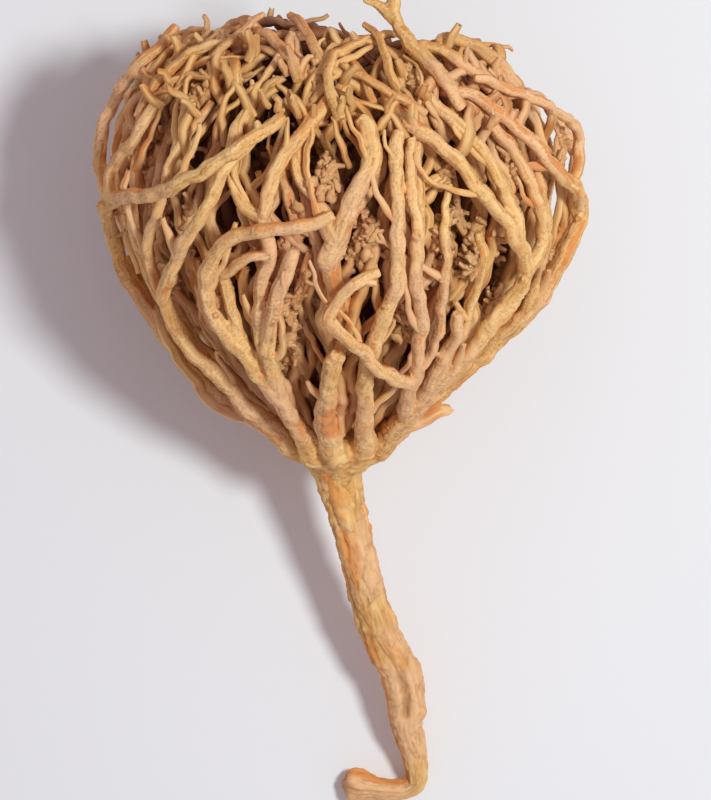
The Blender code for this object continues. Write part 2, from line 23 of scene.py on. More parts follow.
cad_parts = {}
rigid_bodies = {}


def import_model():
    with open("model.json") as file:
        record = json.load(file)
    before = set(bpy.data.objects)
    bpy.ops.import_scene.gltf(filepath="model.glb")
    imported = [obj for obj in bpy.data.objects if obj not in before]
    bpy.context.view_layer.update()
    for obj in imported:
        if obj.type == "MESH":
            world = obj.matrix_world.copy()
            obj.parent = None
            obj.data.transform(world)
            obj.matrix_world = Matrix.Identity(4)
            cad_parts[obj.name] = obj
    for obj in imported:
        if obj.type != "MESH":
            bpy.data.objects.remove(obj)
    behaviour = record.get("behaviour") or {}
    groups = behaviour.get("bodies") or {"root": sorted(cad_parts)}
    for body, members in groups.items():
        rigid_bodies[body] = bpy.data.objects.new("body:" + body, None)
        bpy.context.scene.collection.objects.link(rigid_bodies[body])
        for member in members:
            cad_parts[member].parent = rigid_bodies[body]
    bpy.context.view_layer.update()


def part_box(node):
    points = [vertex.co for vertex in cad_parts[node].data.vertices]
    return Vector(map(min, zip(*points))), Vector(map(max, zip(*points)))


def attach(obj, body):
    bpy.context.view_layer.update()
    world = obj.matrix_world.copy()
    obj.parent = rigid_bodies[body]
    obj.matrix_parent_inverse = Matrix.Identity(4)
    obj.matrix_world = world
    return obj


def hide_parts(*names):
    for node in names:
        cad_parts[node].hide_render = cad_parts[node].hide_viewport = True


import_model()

LOG = logging.getLogger("rose_of_jericho")
MM = 0.001
Place = tuple[float, float, float]
Route = Sequence[Place]
Colour = tuple[float, float, float]
Spread = tuple[float, float]
Array = np.ndarray
Mesh = bpy.types.Mesh
Body = bpy.types.Object
Tree = bpy.types.NodeTree
Socket = bpy.types.NodeSocket
Material = bpy.types.Material
Solid = tuple[Array, list[list[int]]]
Placing = Callable[[float, float, float], Array]


class Kind(Enum):
    """What a branch is, which decides its seat, its bark and its place in the record."""

    LIMB = "limb"
    INNER = "inner"
    TWIG = "twig"
    POD = "pod"


@dataclass(frozen=True)
class BallForm:
    """The curled plant's outline, in mm, with the crown at the origin."""

    height: float = 73.0
    radius: float = 37.4
    flatness: float = 0.9
    lean: float = 1.4
    shoulder: float = 1.5
    fullness: float = 0.45
    narrowing: float = 0.12

    def skin_radius(self, share: float) -> float:
        """Gives the ball's radius at a share of its height.

        Args:
            share: 0 at the crown, 1 at the top.

        Returns:
            The radius in mm, widest above the middle.
        """
        share = min(max(share, 1e-4), 0.9999)
        bulge = self.fullness - self.narrowing * share
        return self.radius * math.sin(math.pi * share**self.shoulder) ** bulge

    def on_ball(self, longitude: float, height: float, depth: float) -> Array:
        """Gives a place by longitude, height in percent and depth below the skin.

        Args:
            longitude: degrees round the axis, 0 towards the viewer.
            height: percent of the ball's height.
            depth: mm inwards, square to the skin.

        Returns:
            The place in the upright plant.
        """
        share = height / 100
        slope = (self.skin_radius(share + 1e-3) - self.skin_radius(share - 1e-3)) / 2e-3
        run = math.hypot(slope, self.height)
        radius = self.skin_radius(share) - depth * self.height / run
        rise = self.height * share + depth * slope / run
        turn = math.radians(longitude)
        lean = self.lean * math.sin(math.pi / 2 * min(share, 1))
        return np.array([radius * math.sin(turn) + lean, -radius * math.cos(turn) * self.flatness, rise])

    def in_heart(self, longitude: float, height: float, share_out: float) -> Array:
        """Gives a place inside the ball, at a share of the way from its axis, 0, to its skin, 1."""
        return self.on_ball(longitude, height, self.skin_radius(height / 100) * (1 - share_out))

    def in_plant(self, longitude: float, radius: float, height: float) -> Array:
        """Gives a place by its distance from the axis and its height, both in mm.

        Args:
            longitude: degrees round the axis.
            radius: mm from the axis.
            height: mm above the crown.

        Returns:
            The place.
        """
        turn = math.radians(longitude)
        side, front = radius * math.sin(turn) + self.lean, -radius * math.cos(turn) * self.flatness
        return np.array([side, front, height])


BALL = BallForm()


@dataclass(frozen=True)
class Lie:
    """How the upright plant is laid down: turned back about the crown, then moved over its solids."""

    angle: float = math.radians(15.0)

    @property
    def tilt(self) -> Spread:
        """The cosine and the sine of the turn that lays the upright plant down."""
        return math.sin(self.angle), math.cos(self.angle)

    def turned(self, points: Array) -> Array:
        """Turns points of the upright plant, in mm, to the lying plant, still about the crown."""
        points = np.asarray(points, float)
        cos, sin = self.tilt
        x, y, z = points[..., 0], points[..., 1], points[..., 2]
        return np.stack([x, cos * y + sin * z, -sin * y + cos * z], -1)

    def crown_place(self) -> Array:
        """Finds the crown's origin in the frame, in metres, from the box of its solid."""
        cos, sin = self.tilt
        spans = []
        for across, along in ((cos, sin), (sin, cos)):
            ends = [along * z + side * across * r for r, z in CROWN.profile for side in (-1, 1)]
            spans.append((min(ends) + max(ends)) / 2)
        low, high = (np.array(corner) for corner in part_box("crown"))
        return (low + high) / 2 - np.array([0, *spans]) * MM

    def on_floor(self, points: Array) -> Array:
        """Puts points of the upright plant, in mm, where they lie in the frame, in metres."""
        return self.turned(points) * MM + self.crown_place()

    def upright(self, places: Array) -> Array:
        """Takes places of the frame, in metres, back to the upright plant, in mm."""
        cos, sin = self.tilt
        x, y, z = ((places - self.crown_place()) / MM).T
        return np.stack([x, cos * y - sin * z, sin * y + cos * z], -1)


LIE = Lie()


def unit(vector: Array) -> Array:
    """Scales vectors to length 1."""
    return vector / (np.linalg.norm(vector, axis=-1, keepdims=True) + 1e-12)


def bell(off: Array, width: float) -> Array:
    """Gives 1 in the middle of a swelling or a groove and falls off smoothly to each side."""
    return np.exp(-((off / width) ** 2))


def within_turn(angle: Array) -> Array:
    """Brings angles into the half turn to each side of 0."""
    return (angle + np.pi) % (2 * np.pi) - np.pi


def run_along(points: Array) -> Array:
    """Measures the distance of each point from the first, along their line."""
    return np.append(0, np.cumsum(np.linalg.norm(np.diff(points, axis=0), axis=1)))


def resampled(route: Array, radii: Array, step: float) -> tuple[Array, Array]:
    """Draws a Catmull-Rom curve through a route.

    Args:
        route: the points, in mm.
        radii: a radius for each, in mm.
        step: the spacing of the new points, in mm.

    Returns:
        The new points and their radii.
    """
    route = np.asarray(route, float)
    ends = np.vstack([2 * route[0] - route[1], route, 2 * route[-1] - route[-2]])
    u = np.linspace(0, 1, 24, endpoint=False)[:, None]
    runs = []
    for a, b, c, d in zip(ends, ends[1:], ends[2:], ends[3:]):
        cubic = (3 * b - a - 3 * c + d) * u**3 + (2 * a - 5 * b + 4 * c - d) * u**2
        runs.append(0.5 * (cubic + (c - a) * u + 2 * b))
    curve = np.vstack(runs + [route[-1:]])
    along = run_along(curve)
    count = max(2, round(along[-1] / step) + 1)
    stops = np.linspace(0, along[-1], count)
    points = np.stack([np.interp(stops, along, curve[:, k]) for k in range(3)], 1)
    knots = np.interp(stops, along, np.linspace(0, len(radii) - 1, len(along)))
    return points, np.interp(knots, np.arange(len(radii)), radii)


GROWTH_STEP = 1.5


@dataclass
class Shoot:
    """One unforked stretch of a stem: its points and radii, and where it grows from."""

    points: Array
    radii: Array
    parent: int | None = None
    start: int = 0


@dataclass
class Branch:
    """A stem with all its forks."""

    name: str
    kind: Kind
    seat: float | None = None
    shoots: list[Shoot] = field(default_factory=list)

    def grow(self, points: Sequence[Array], radii: Spread) -> int:
        """Adds a first shoot through the points and gives its number."""
        return self._add(points, radii, None, 0)

    def stem(self, route: Route, first: float, last: float) -> int:
        """Adds a first shoot along a route on the ball and gives its number."""
        return self.grow([BALL.on_ball(*place) for place in route], (first, last))

    def fork(
        self, parent: int, share: float, route: Route, first: float, last: float,
        place: Placing = BALL.on_ball,
    ) -> int:
        """Adds a shoot that grows out of another.

        Args:
            parent: the number of the shoot it grows from.
            share: where on the parent, from 0 to 1.
            route: the places it then passes.
            first: its radius at the fork, in mm.
            last: its radius at the tip, in mm.
            place: turns a route point into a place.

        Returns:
            Its number.
        """
        trunk = self.shoots[parent]
        start = round(share * (len(trunk.points) - 1))
        points = [trunk.points[start]] + [place(*stop) for stop in route]
        return self._add(points, (first, last), parent, start)

    def _add(self, points: Sequence[Array], radii: Spread, parent: int | None, start: int) -> int:
        """Adds a shoot with evenly changing radii and gives its number."""
        spread = np.linspace(*radii, len(points))
        self.shoots.append(Shoot(*resampled(np.array(points), spread, GROWTH_STEP), parent, start))
        return len(self.shoots) - 1


@dataclass(frozen=True)
class Growth:
    """All the branches of the plant, in the order and with the draws of its solid model."""

    back_seed: int = 11
    inner_seed: int = 7
    closing_seed: int = 3
    closing_twigs: int = 8
    pod_radius: float = 1.6
    pod_places: Route = (
        (-52, 44, 10), (-16, 36, 13), (-14, 62, 13), (-50, 66, 11), (22, 58, 13), (36, 46, 11),
        (60, 58, 10), (8, 42, 14), (-24, 78, 11), (30, 78, 11), (72, 72, 9), (-76, 56, 9),
    )

    @staticmethod
    def around(side: float, chance: np.random.Generator, usual: float) -> Callable[..., float]:
        """Gives a draw of longitudes near a limb's own, within the usual spread or another."""

        def near(offset: float = 0.0, spread: float = usual) -> float:
            """Draws one longitude."""
            return side + offset + float(chance.uniform(-spread, spread))

        return near

    @staticmethod
    def showing(limbs: list[Branch], name: str, seat: float) -> Branch:
        """Starts a limb at its seat on the crown and adds it to the others."""
        limbs.append(Branch(name, Kind.LIMB, seat))
        return limbs[-1]

    def front_limbs(self) -> list[Branch]:
        """Grows the seven limbs of the side that shows, left to right."""
        limbs = []
        limb = self.showing(limbs, "limb_left_edge", -98)
        main = limb.stem([(-98, 2, 1.4), (-90, 10, 0.8), (-88, 18, 0), (-87, 28, 0.4), (-86, 40, 0.5),
            (-85, 52, 0.7), (-76, 59, 0.8), (-60, 63, 0.6), (-42, 67, 0.8), (-27, 75, 1.2),
            (-16, 84, 2.5)], 1.3, 0.95)
        limb.fork(main, 0.62, [(-74, 66, 1.2), (-64, 75, 1), (-60, 86, 0.8), (-58, 93, 0.5)], 1.05, 0.7)
        limb.fork(main, 0.60, [(-84, 66, 0.2), (-84, 76, -0.4), (-81, 84, -0.7), (-77, 90, -0.9),
            (-74, 93.4, -2.4)], 1.1, 0.8)
        limb.fork(main, 0.30, [(-96, 36, 1.2), (-104, 50, 1.2), (-106, 64, 1.2), (-104, 76, 1.4),
            (-100, 88, 1.6), (-90, 96, 3)], 1.15, 0.7)

        limb = self.showing(limbs, "limb_left", -65.5)
        main = limb.stem([(-64, 2, 1.4), (-57, 9, 1.3), (-53, 18, 1.2), (-55, 26, 1.1), (-60, 33, 1.1),
            (-56, 40, 1.1), (-50, 46, 1.1), (-42, 54, 1.2), (-36, 61, 1.3), (-32, 68, 1.5), (-28, 76, 2.2),
            (-20, 86, 5)], 1.3, 0.9)
        limb.fork(main, 0.40, [(-58, 47, 1.6), (-55, 54, 1.6), (-51, 62, 1.8), (-48, 70, 2),
            (-46, 78, 2.4), (-42, 86, 3)], 1, 0.7)
        limb.fork(main, 0.30, [(-74, 38, 3.5), (-72, 50, 3.5), (-68, 62, 3.5), (-68, 74, 3.5), (-66, 85, 3),
            (-50, 93, 4)], 1, 0.7)

        limb = self.showing(limbs, "limb_left_front", -33)
        main = limb.stem([(-33, 2, 1.4), (-27, 10, 1.6), (-27, 20, 1.4), (-31, 29, 1.3),
            (-36, 38, 1.2), (-37, 46, 1.1), (-32, 53, 1), (-26, 59, 1), (-16, 60.5, 1), (-8, 62, 0.9),
            (-2, 64.5, 0.8)], 1.35, 0.95)
        limb.fork(main, 0.38, [(-33, 46, 3), (-29, 50, 2.4), (-25, 53, 2.2), (-19, 54, 2.4)], 0.95, 0.75)
        tall = limb.fork(main, 0.24, [(-26, 28, 2.6), (-24, 37, 2.6), (-22, 46, 2.8), (-18, 54, 3.2),
            (-20, 61, 3.4), (-19, 65, 2.4), (-14, 77, 1.6), (-6, 85, 1.4), (2, 91, 1.5)], 1.15, 0.95)
        limb.fork(tall, 0.60, [(-25, 65, 3), (-29, 73, 2.4), (-30, 80, 2.4), (-28, 88, 3.5)], 1, 0.8)
        limb.fork(main, 0.27, [(-22, 34, 1.6), (-18, 42, 1.5), (-15, 49, 1.6), (-12, 56, 2.4)], 1.25, 1.1)

        limb = self.showing(limbs, "limb_centre", 0)
        stub = limb.stem([(0, 2, 1.4), (-7, 8, 1.6), (-7, 15, 1.3), (-4, 24, 1.2), (-1, 33, 1)], 1.4, 1.35)
        column = limb.fork(stub, 0.30, [(-3, 22, 6.5), (-3, 34, 6), (-2, 45, 4.4), (-4, 54, 2.8),
            (-2, 61, 1.8), (1, 67, 1.6), (5, 73, 1.4), (6, 79, 1.4), (4, 84, 2)], 1.45, 1.35)
        limb.fork(column, 0.60, [(4, 66, 5), (9, 72, 6), (10, 80, 6), (2, 88, 6)], 0.9, 0.6)
        limb.fork(column, 0.68, [(-8, 68, 3.6), (-12, 74, 3.2), (-12, 80, 3), (-4, 87, 2.6)], 1, 0.75)
        limb.fork(column, 0.28, [(-9, 36, 8), (-13, 44, 8), (-10, 53, 7), (-6, 60, 7)], 0.6, 0.45)

        limb = self.showing(limbs, "limb_right_front", 33)
        main = limb.stem([(33, 2, 1.4), (24, 7, 1.6), (15, 13, 1.5), (10, 22, 1.3), (9, 31, 1.4),
            (11, 39, 1.4), (13, 48, 1.2), (13, 58, 1.1), (12.5, 70, 1.1), (14, 81, 1.2)], 1.3, 1)
        limb.fork(main, 0.52, [(17, 52, 3), (19, 60, 3), (18, 70, 3), (19, 80, 3), (24, 88, 3)], 0.9, 0.7)

        limb = self.showing(limbs, "limb_right", 65.5)
        main = limb.stem([(62, 2, 1.4), (48, 8, 1.6), (43, 15, 1.5), (43, 22, 1.4), (45, 29, 1.2),
            (48, 37, 1.1), (51, 43, 1), (51, 50, 1), (43, 58, 1), (35, 66, 1), (28, 74, 1),
            (20, 82, 1.4), (12, 89, 2)], 1.4, 1)
        limb.fork(main, 0.62, [(45, 61, 2), (40, 68, 1.4), (35, 75, 1.2), (29, 82, 1.2),
            (20, 88, 1.5)], 1.15, 0.9)
        limb.fork(main, 0.54, [(57, 53, 1.4), (54, 61, 1.3), (49, 69, 1.5), (46, 77, 2), (42, 84, 3)],
            1.15, 0.9)
        limb.fork(main, 0.24, [(41, 34, 3), (40, 42, 3.4), (39, 50, 3.4), (37, 57, 4)], 0.9, 0.7)
        limb.fork(main, 0.20, [(37, 27, 1.8), (36, 34, 1.7), (34, 40, 2.2)], 1.25, 1)
        inner_side = limb.fork(main, 0.16, [(32, 18, 1.4), (26, 27, 1.2), (22, 39, 1.2), (18, 50, 1.2),
            (17, 62, 1.3), (16, 71, 1.6), (17, 80, 2.6)], 1.15, 0.85)
        limb.fork(inner_side, 0.12, [(24, 25, 0.2), (18, 28, -0.2), (10, 32, -0.2), (3, 37, -0.1),
            (-3, 42.5, 0), (1, 48.5, 0.2), (9, 52, 1.2)], 1.1, 0.9)
        limb.fork(inner_side, 0.20, [(31, 31, 2.4), (28, 43, 2.4), (26, 53, 2.4), (25, 62, 2.6),
            (27, 70, 3.4)], 0.8, 0.6)

        limb = self.showing(limbs, "limb_right_edge", 98)
        main = limb.stem([(94, 2, 1.6), (86, 9, 2), (82, 20, 2.5), (78, 29, 1.9), (76, 36, 1.2),
            (78, 44, 1), (84, 53, 0.9), (82, 58, 0.9), (68, 64, 0.8), (56, 71, 0.6), (49, 77, 0.8),
            (44, 82, 1), (37, 86, 1), (28, 88, 1.2)], 1.35, 0.95)
        limb.fork(main, 0.56, [(76, 63, 2.2), (84, 68, 1.4), (84, 73, 1.2), (76, 78, 1),
            (63, 82, 0.8), (52, 86, 0.6), (40, 89, 0.8)], 0.95, 0.75)
        limb.fork(main, 0.36, [(72, 44, 3), (66, 52, 3), (61, 60, 3), (58, 68, 3.2),
            (56, 76, 3.4)], 0.7, 0.5)
        limb.fork(main, 0.30, [(92, 42, 1.8), (97, 54, 1.8), (98, 66, 2), (96, 77, 3.4),
            (86, 86, 4.6), (68, 92, 4.4)], 1.1, 0.75)
        return limbs

    def back_limbs(self) -> list[Branch]:
        """Grows four limbs of the side that lies on the floor, each forking as it climbs."""
        chance = np.random.default_rng(self.back_seed)
        limbs = []
        for number, side in enumerate((131, 164, -164, -131), 1):
            limb, near = Branch(f"limb_back_{number}", Kind.LIMB, side), self.around(side, chance, 3)
            main = limb.stem([(side, 2, 1.4), (near(), 10, 1.4), (near(), 22, 1.3), (near(), 34, 1.2),
                (near(-9), 46, 1.1), (near(-11), 58, 1.1), (near(-9), 70, 1.1), (near(-10, 4), 82, 1.3),
                (near(-8, 6), 91, 2), (near(-4, 12), 96, 5)], 1.35, 0.8)
            second = limb.fork(main, 0.36, [(near(7), 46, 1.1), (near(10), 58, 1.1), (near(6), 70, 1.2),
                (near(7, 4), 82, 1.4), (near(8, 8), 92, 2.4), (near(14, 12), 97, 6)], 1.15, 0.75)
            limb.fork(main, 0.56, [(near(-3, 2), 64, 1.6), (near(-1), 76, 1.8), (near(2, 6), 88, 2.4)],
                0.9, 0.7)
            limb.fork(second, 0.45, [(near(15, 2), 72, 1.6), (near(16), 83, 1.8), (near(14, 8), 92, 3)],
                0.85, 0.6)
            limb.fork(main, 0.26, [(near(), 44, 4), (near(3), 56, 4.4), (near(0, 6), 68, 4.4),
                (near(0, 6), 80, 4.6)], 0.9, 0.6)
            limbs.append(limb)
        return limbs

    def inner_limbs(self) -> list[Branch]:
        """Grows seven limbs inside the outer ones, which curl in at the top, and one at the heart."""
        chance = np.random.default_rng(self.inner_seed)
        limbs = []
        for number, side in enumerate((-26, 26, 77, 129, 180, -129, -77), 1):
            limb, near = Branch(f"inner_limb_{number}", Kind.INNER, side), self.around(side, chance, 5)
            limb.grow([BALL.in_heart(*place) for place in (
                (side, 7.5, 0.30), (near(), 16, 0.50), (near(), 28, 0.70), (near(-6), 42, 0.80),
                (near(-10), 56, 0.83), (near(-9), 70, 0.84), (near(-6), 82, 0.84), (near(0, 12), 91, 0.72),
                (near(0, 20), 96, 0.42),
            )], (1.15, 0.75))
            second = limb.fork(0, 0.30, [(near(9), 44, 0.76), (near(14), 58, 0.83), (near(12), 72, 0.84),
                (near(10, 8), 84, 0.80), (near(8, 16), 93, 0.62)], 1, 0.65, BALL.in_heart)
            limb.fork(0, 0.45, [(near(-2), 60, 0.70), (near(), 72, 0.66), (near(0, 15), 84, 0.56),
                (near(0, 30), 93, 0.32)], 0.85, 0.6, BALL.in_heart)
            limb.fork(second, 0.40, [(near(22), 66, 0.78), (near(20), 78, 0.76),
                (near(16, 12), 89, 0.60)], 0.8, 0.55, BALL.in_heart)
            limbs.append(limb)

        core = Branch("inner_limb_core", Kind.INNER, 0)
        core.grow([BALL.in_heart(*place) for place in (
            (0, 9, 0.02), (20, 22, 0.04), (60, 38, 0.08), (150, 55, 0.05), (-30, 72, 0.10), (-90, 86, 0.16),
        )], (1.1, 0.8))
        for share, side in ((0.30, 60), (0.38, 220), (0.46, 140), (0.54, -50)):
            core.fork(0, share, [(side, 52, 0.16), (side + 15, 66, 0.26), (side + 10, 80, 0.34),
                (side - 10, 90, 0.42)], 0.8, 0.55, BALL.in_heart)
        return limbs + [core]

    def top_twigs(self) -> list[Branch]:
        """Grows the twigs that cross the top, with the long broken one that stands out of it."""
        tall = Branch("top_twig_tall", Kind.TWIG)
        main = tall.stem([(32, 84, 1.2), (29, 88.5, 0.4), (25, 92.5, -0.4), (21, 95.5, -1.4),
            (19, 96.8, -3.4), (19, 97.4, -6.2), (14, 97.6, -8.6)], 1.1, 0.9)
        tall.fork(main, 0.66, [(13, 97.2, -4), (7, 97.4, -4.6)], 0.7, 0.5)
        routes = [
            ([(50, 86, 2.2), (43, 90.5, 1), (35, 94, 0.2), (28, 95, -0.2), (26, 93, 0.4), (28, 90, 1.4)],
             0.9, 0.7),
            ([(58, 86, 1.6), (56, 90.5, 0.6), (50, 94, -0.4), (43, 96, -0.8), (39, 95, 0.4)], 1.2, 0.8),
            ([(-48, 92, 0.6), (-42, 95.5, -0.4), (-37, 97.4, -1.8)], 0.7, 0.5),
            ([(-14, 90, 1.2), (-20, 93.6, 0.2), (-34, 96, -0.4), (-52, 97, -0.6)], 0.9, 0.7),
            ([(-3, 91, 1.8), (-9, 94.4, 0.6), (-17, 97, -0.2), (-34, 98.8, -0.4)], 0.9, 0.7),
            ([(-1, 83, 1), (-5, 89, 0.6), (-3, 93.4, 0.2), (8, 96.4, 0), (30, 98, 0.4)], 0.9, 0.6),
            ([(8, 86, 1.2), (5, 90.6, 1.4), (1, 94.8, 2.2), (-4, 97.8, 2.6)], 0.7, 0.5),
            ([(18, 86.5, 1.6), (15, 91, 0.6), (13, 95, -1.2), (8, 97.8, -2.2)], 0.8, 0.6),
            ([(22, 84.5, 2.4), (14, 86.6, 1), (6, 89.2, 0.4), (-2, 92, 0.4)], 0.8, 0.6),
            ([(-33, 88, 1.4), (-37, 91.6, 0.8), (-50, 94, 2.2), (-70, 94.8, 2.4)], 0.9, 0.6),
            ([(-66, 79, 1.4), (-63, 86, 0.6), (-56, 91.6, 0.2), (-42, 94.8, 0.2)], 0.9, 0.7),
        ]
        twigs = [tall]
        for number, (route, first, last) in enumerate(routes, 1):
            twig = Branch(f"top_twig_{number}", Kind.TWIG)
            twig.stem(route, first, last)
            twigs.append(twig)
        return twigs

    def closing_curls(self) -> list[Branch]:
        """Grows curls that rise from the sides and back and wind in over the mouth of the ball."""
        chance = np.random.default_rng(self.closing_seed)
        twigs = []
        for number in range(self.closing_twigs):
            side = 70 + 250 * number / self.closing_twigs + float(chance.uniform(-8, 8))
            wide = float(chance.uniform(0.9, 1.1))
            low = float(chance.uniform(-3.0, 0.5))
            twig = Branch(f"closing_twig_{number + 1}", Kind.TWIG)
            twig.grow([BALL.in_plant(side + turn, radius * wide, height + low) for turn, radius, height in (
                (0, 27, 58), (4, 25.5, 64), (12, 20.5, 69), (28, 14.5, 71), (56, 9, 70.5), (105, 6.5, 66.5),
            )], (0.95, 0.6))
            if number % 2:
                ends = [(side + 2, 21, 71 + low), (side - 6, 15, 71.5 + low)]
                twig.fork(0, 0.4, ends, 0.75, 0.55, BALL.in_plant)
            twigs.append(twig)
        return twigs

    def seed_pods(self) -> list[Branch]:
        """Grows dry pods, each a short fat shoot on the branches inside the ball."""
        pods = []
        for number, (longitude, height, depth) in enumerate(self.pod_places, 1):
            pod = Branch(f"seed_pod_{number}", Kind.POD)
            middle = BALL.on_ball(longitude, height, depth)
            along = np.array([0.0, 0.0, 0.5])
            pod.grow([middle - along, middle + along], (self.pod_radius, self.pod_radius))
            pods.append(pod)
        return pods


@dataclass(frozen=True)
class Settling:
    """Seats the limbs on the crown and pushes the stems of different branches apart, in mm."""

    gap: float = 0.45
    floor: float = -19.6
    reach: tuple[tuple[float, float], ...] = (
        (-36, 56.5), (-30, 63.3), (-24, 67.3), (-17, 68.0), (-1, 68.5), (2, 66.2), (12, 64.2), (22, 65.0),
        (26, 62.2), (28.5, 57.6), (33, 54.6), (37, 50.8),
    )
    rounds: int = 24
    passes: int = 6
    push: float = 1.2
    evening: float = 0.35
    margin: float = 1.0
    seated: int = 2
    eased: int = 6
    core_lift: float = 90

    def limit(self, right: Array) -> Array:
        """Gives how far from the crown the top may reach, by how far right of the axis."""
        return np.interp(right, *zip(*self.reach))

    def seat(self, branch: Branch) -> None:
        """Brings a limb's first points straight out of the crown."""
        lift = CROWN.limb_lift if branch.kind is Kind.LIMB else CROWN.inner_lift
        if branch.name == "inner_limb_core":
            lift = self.core_lift
        turn, lift = math.radians(branch.seat), math.radians(lift)
        out = np.array([math.sin(turn) * math.cos(lift), -math.cos(turn) * math.cos(lift), math.sin(lift)])
        points = branch.shoots[0].points
        for k in range(self.eased):
            reach = CROWN.radius + CROWN.seat_gap + GROWTH_STEP * k
            straight = np.array([0, 0, CROWN.height]) + reach * out
            ease = 1.0 if k < self.seated else (1 - (k - 1) / (self.eased - 1)) ** 2
            points[k] = ease * straight + (1 - ease) * points[k]

    def run(self, branches: list[Branch]) -> None:
        """Moves the branches' points until a gap is free between them, off the floor and within reach.

        The push is smoothed along each stem, forks stay joined, and the seats on the crown don't move.

        Args:
            branches: every branch of the plant, changed in place.
        """
        beads, chains = [], []
        for number, branch in enumerate(branches):
            kept, held = [], branch.name != "top_twig_tall"
            for shoot in branch.shoots:
                chain = []
                for k, point in enumerate(shoot.points):
                    if shoot.parent is not None and k == 0:
                        chain.append(kept[shoot.parent][shoot.start])
                        continue
                    chain.append(len(beads))
                    fixed = branch.seat is not None and shoot.parent is None and k < self.seated
                    beads.append((point, shoot.radii[k], number, 0.0 if fixed else 1.0, held))
                kept.append(chain)
            chains.append(kept)
        points, radii, owner, loose, held = (np.array(column) for column in zip(*beads))
        rest = points.copy()
        shoots = [chain for kept in chains for chain in kept]
        middle = np.array([k for chain in shoots for k in chain[1:-1]])
        before = np.array([k for chain in shoots for k in chain[:-2]])
        after = np.array([k for chain in shoots for k in chain[2:]])
        tips = np.array([chain[-1] for chain in shoots])
        next_to_tips = np.array([chain[-2] for chain in shoots])
        down_z, down_y = LIE.tilt
        for _ in range(self.rounds):
            span = ((points[:, None] - points[None]) ** 2).sum(-1)
            reach = (radii[:, None] + radii[None] + self.gap + self.margin) ** 2
            first, second = np.nonzero((span < reach) & (owner[:, None] < owner[None]))
            weight = loose[first] + loose[second] + 1e-9
            for _ in range(self.passes):
                line = points[second] - points[first]
                length = np.linalg.norm(line, axis=1) + 1e-9
                lack = np.maximum(radii[first] + radii[second] + self.gap - length, 0)
                push = (lack / length / weight)[:, None] * line
                move, hits = np.zeros_like(points), np.zeros(len(points))
                np.add.at(move, first, -push * loose[first][:, None])
                np.add.at(move, second, push * loose[second][:, None])
                np.add.at(hits, first, lack > 0)
                np.add.at(hits, second, lack > 0)
                points = points + self.push * move / np.maximum(hits, 1)[:, None]
                floor_gap = -down_y * points[:, 1] + down_z * points[:, 2] - self.floor - radii
                rise = np.maximum(-floor_gap, 0) * loose
                points[:, 1] -= rise * down_y
                points[:, 2] += rise * down_z
                reached = down_z * points[:, 1] + down_y * points[:, 2] + radii
                drop = np.maximum(reached - self.limit(points[:, 0]), 0) * loose * held
                points[:, 1] -= drop * down_z
                points[:, 2] -= drop * down_y
                moved = points - rest
                smoothed = moved.copy()
                smoothed[middle] += self.evening * ((moved[before] + moved[after]) / 2 - moved[middle])
                smoothed[tips] += self.evening * (moved[next_to_tips] - moved[tips])
                points = rest + smoothed * loose[:, None]
        for branch, kept in zip(branches, chains):
            for shoot, chain in zip(branch.shoots, kept):
                shoot.points = points[chain]


SETTLING = Settling()


def grown() -> list[Branch]:
    """Grows all the branches and settles them, as the solid model does."""
    growth = Growth()
    branches = growth.front_limbs() + growth.back_limbs() + growth.inner_limbs()
    for branch in branches:
        SETTLING.seat(branch)
    branches += growth.top_twigs() + growth.closing_curls() + growth.seed_pods()
    SETTLING.run(branches)
    LOG.info("grew %d branches", len(branches))
    return branches


def depth_below_skin(points: Array) -> Array:
    """Measures how far points of the upright plant lie inside the ball, in mm, below 0 outside it."""
    points = np.asarray(points, float)
    share = np.clip(points[:, 2] / BALL.height, 1e-3, 0.999)
    bulge = BALL.fullness - BALL.narrowing * share
    skin = BALL.radius * np.sin(np.pi * share**BALL.shoulder) ** bulge
    out = np.hypot(points[:, 0] - BALL.lean * np.sin(np.pi / 2 * share), points[:, 1] / BALL.flatness)
    return skin - out


def outward(points: Array) -> Array:
    """Gives the directions square to the ball's skin at points of the upright plant."""
    points = np.asarray(points, float)
    steps = np.eye(3) * 0.05
    slopes = [depth_below_skin(points - step) - depth_below_skin(points + step) for step in steps]
    normal = np.stack(slopes, 1)
    return normal / (np.linalg.norm(normal, axis=1, keepdims=True) + 1e-9)


def out_at(place: Array) -> Array:
    """Gives the direction out of the ball at one place."""
    return outward(place[None])[0]


def climb_at(out: Array) -> Array:
    """Gives the direction that climbs the ball's skin where this direction leads out of it."""
    return unit(np.array([0, 0, 1.0]) - out * out[2])


BARK_ROOM = 1.12


@dataclass
class Strand:
    """A bare stem in the upright plant, in mm, ready for its bark."""

    points: Array
    radii: Array
    tip: float = 1.0
    foot: float = 0.0
    base: float = 0.0

    @classmethod
    def tapered(cls, points: Sequence[Array], first: float, share: float, foot: float = 0.0) -> "Strand":
        """Gives a stem whose radius falls evenly to a share of the first."""
        points = np.array(points)
        return cls(points, np.linspace(first, first * share, len(points)), foot=foot)

    def lifted(self) -> "Strand":
        """Gives the stem with every point high enough to lie on the floor, not under it."""
        lying = LIE.turned(self.points)
        rise = np.maximum(SETTLING.floor + self.radii * BARK_ROOM - lying[:, 2], 0)
        cos, sin = LIE.tilt
        up = np.array([0, -sin, cos])
        return Strand(self.points + rise[:, None] * up, self.radii, self.tip, self.foot, self.base)

    @property
    def along(self) -> Array:
        """The distance of each point from the stem's foot, in mm."""
        return run_along(self.points)


@dataclass
class Lump:
    """A bead or a pod in the upright plant, in mm."""

    place: Array
    size: float
    aim: Array


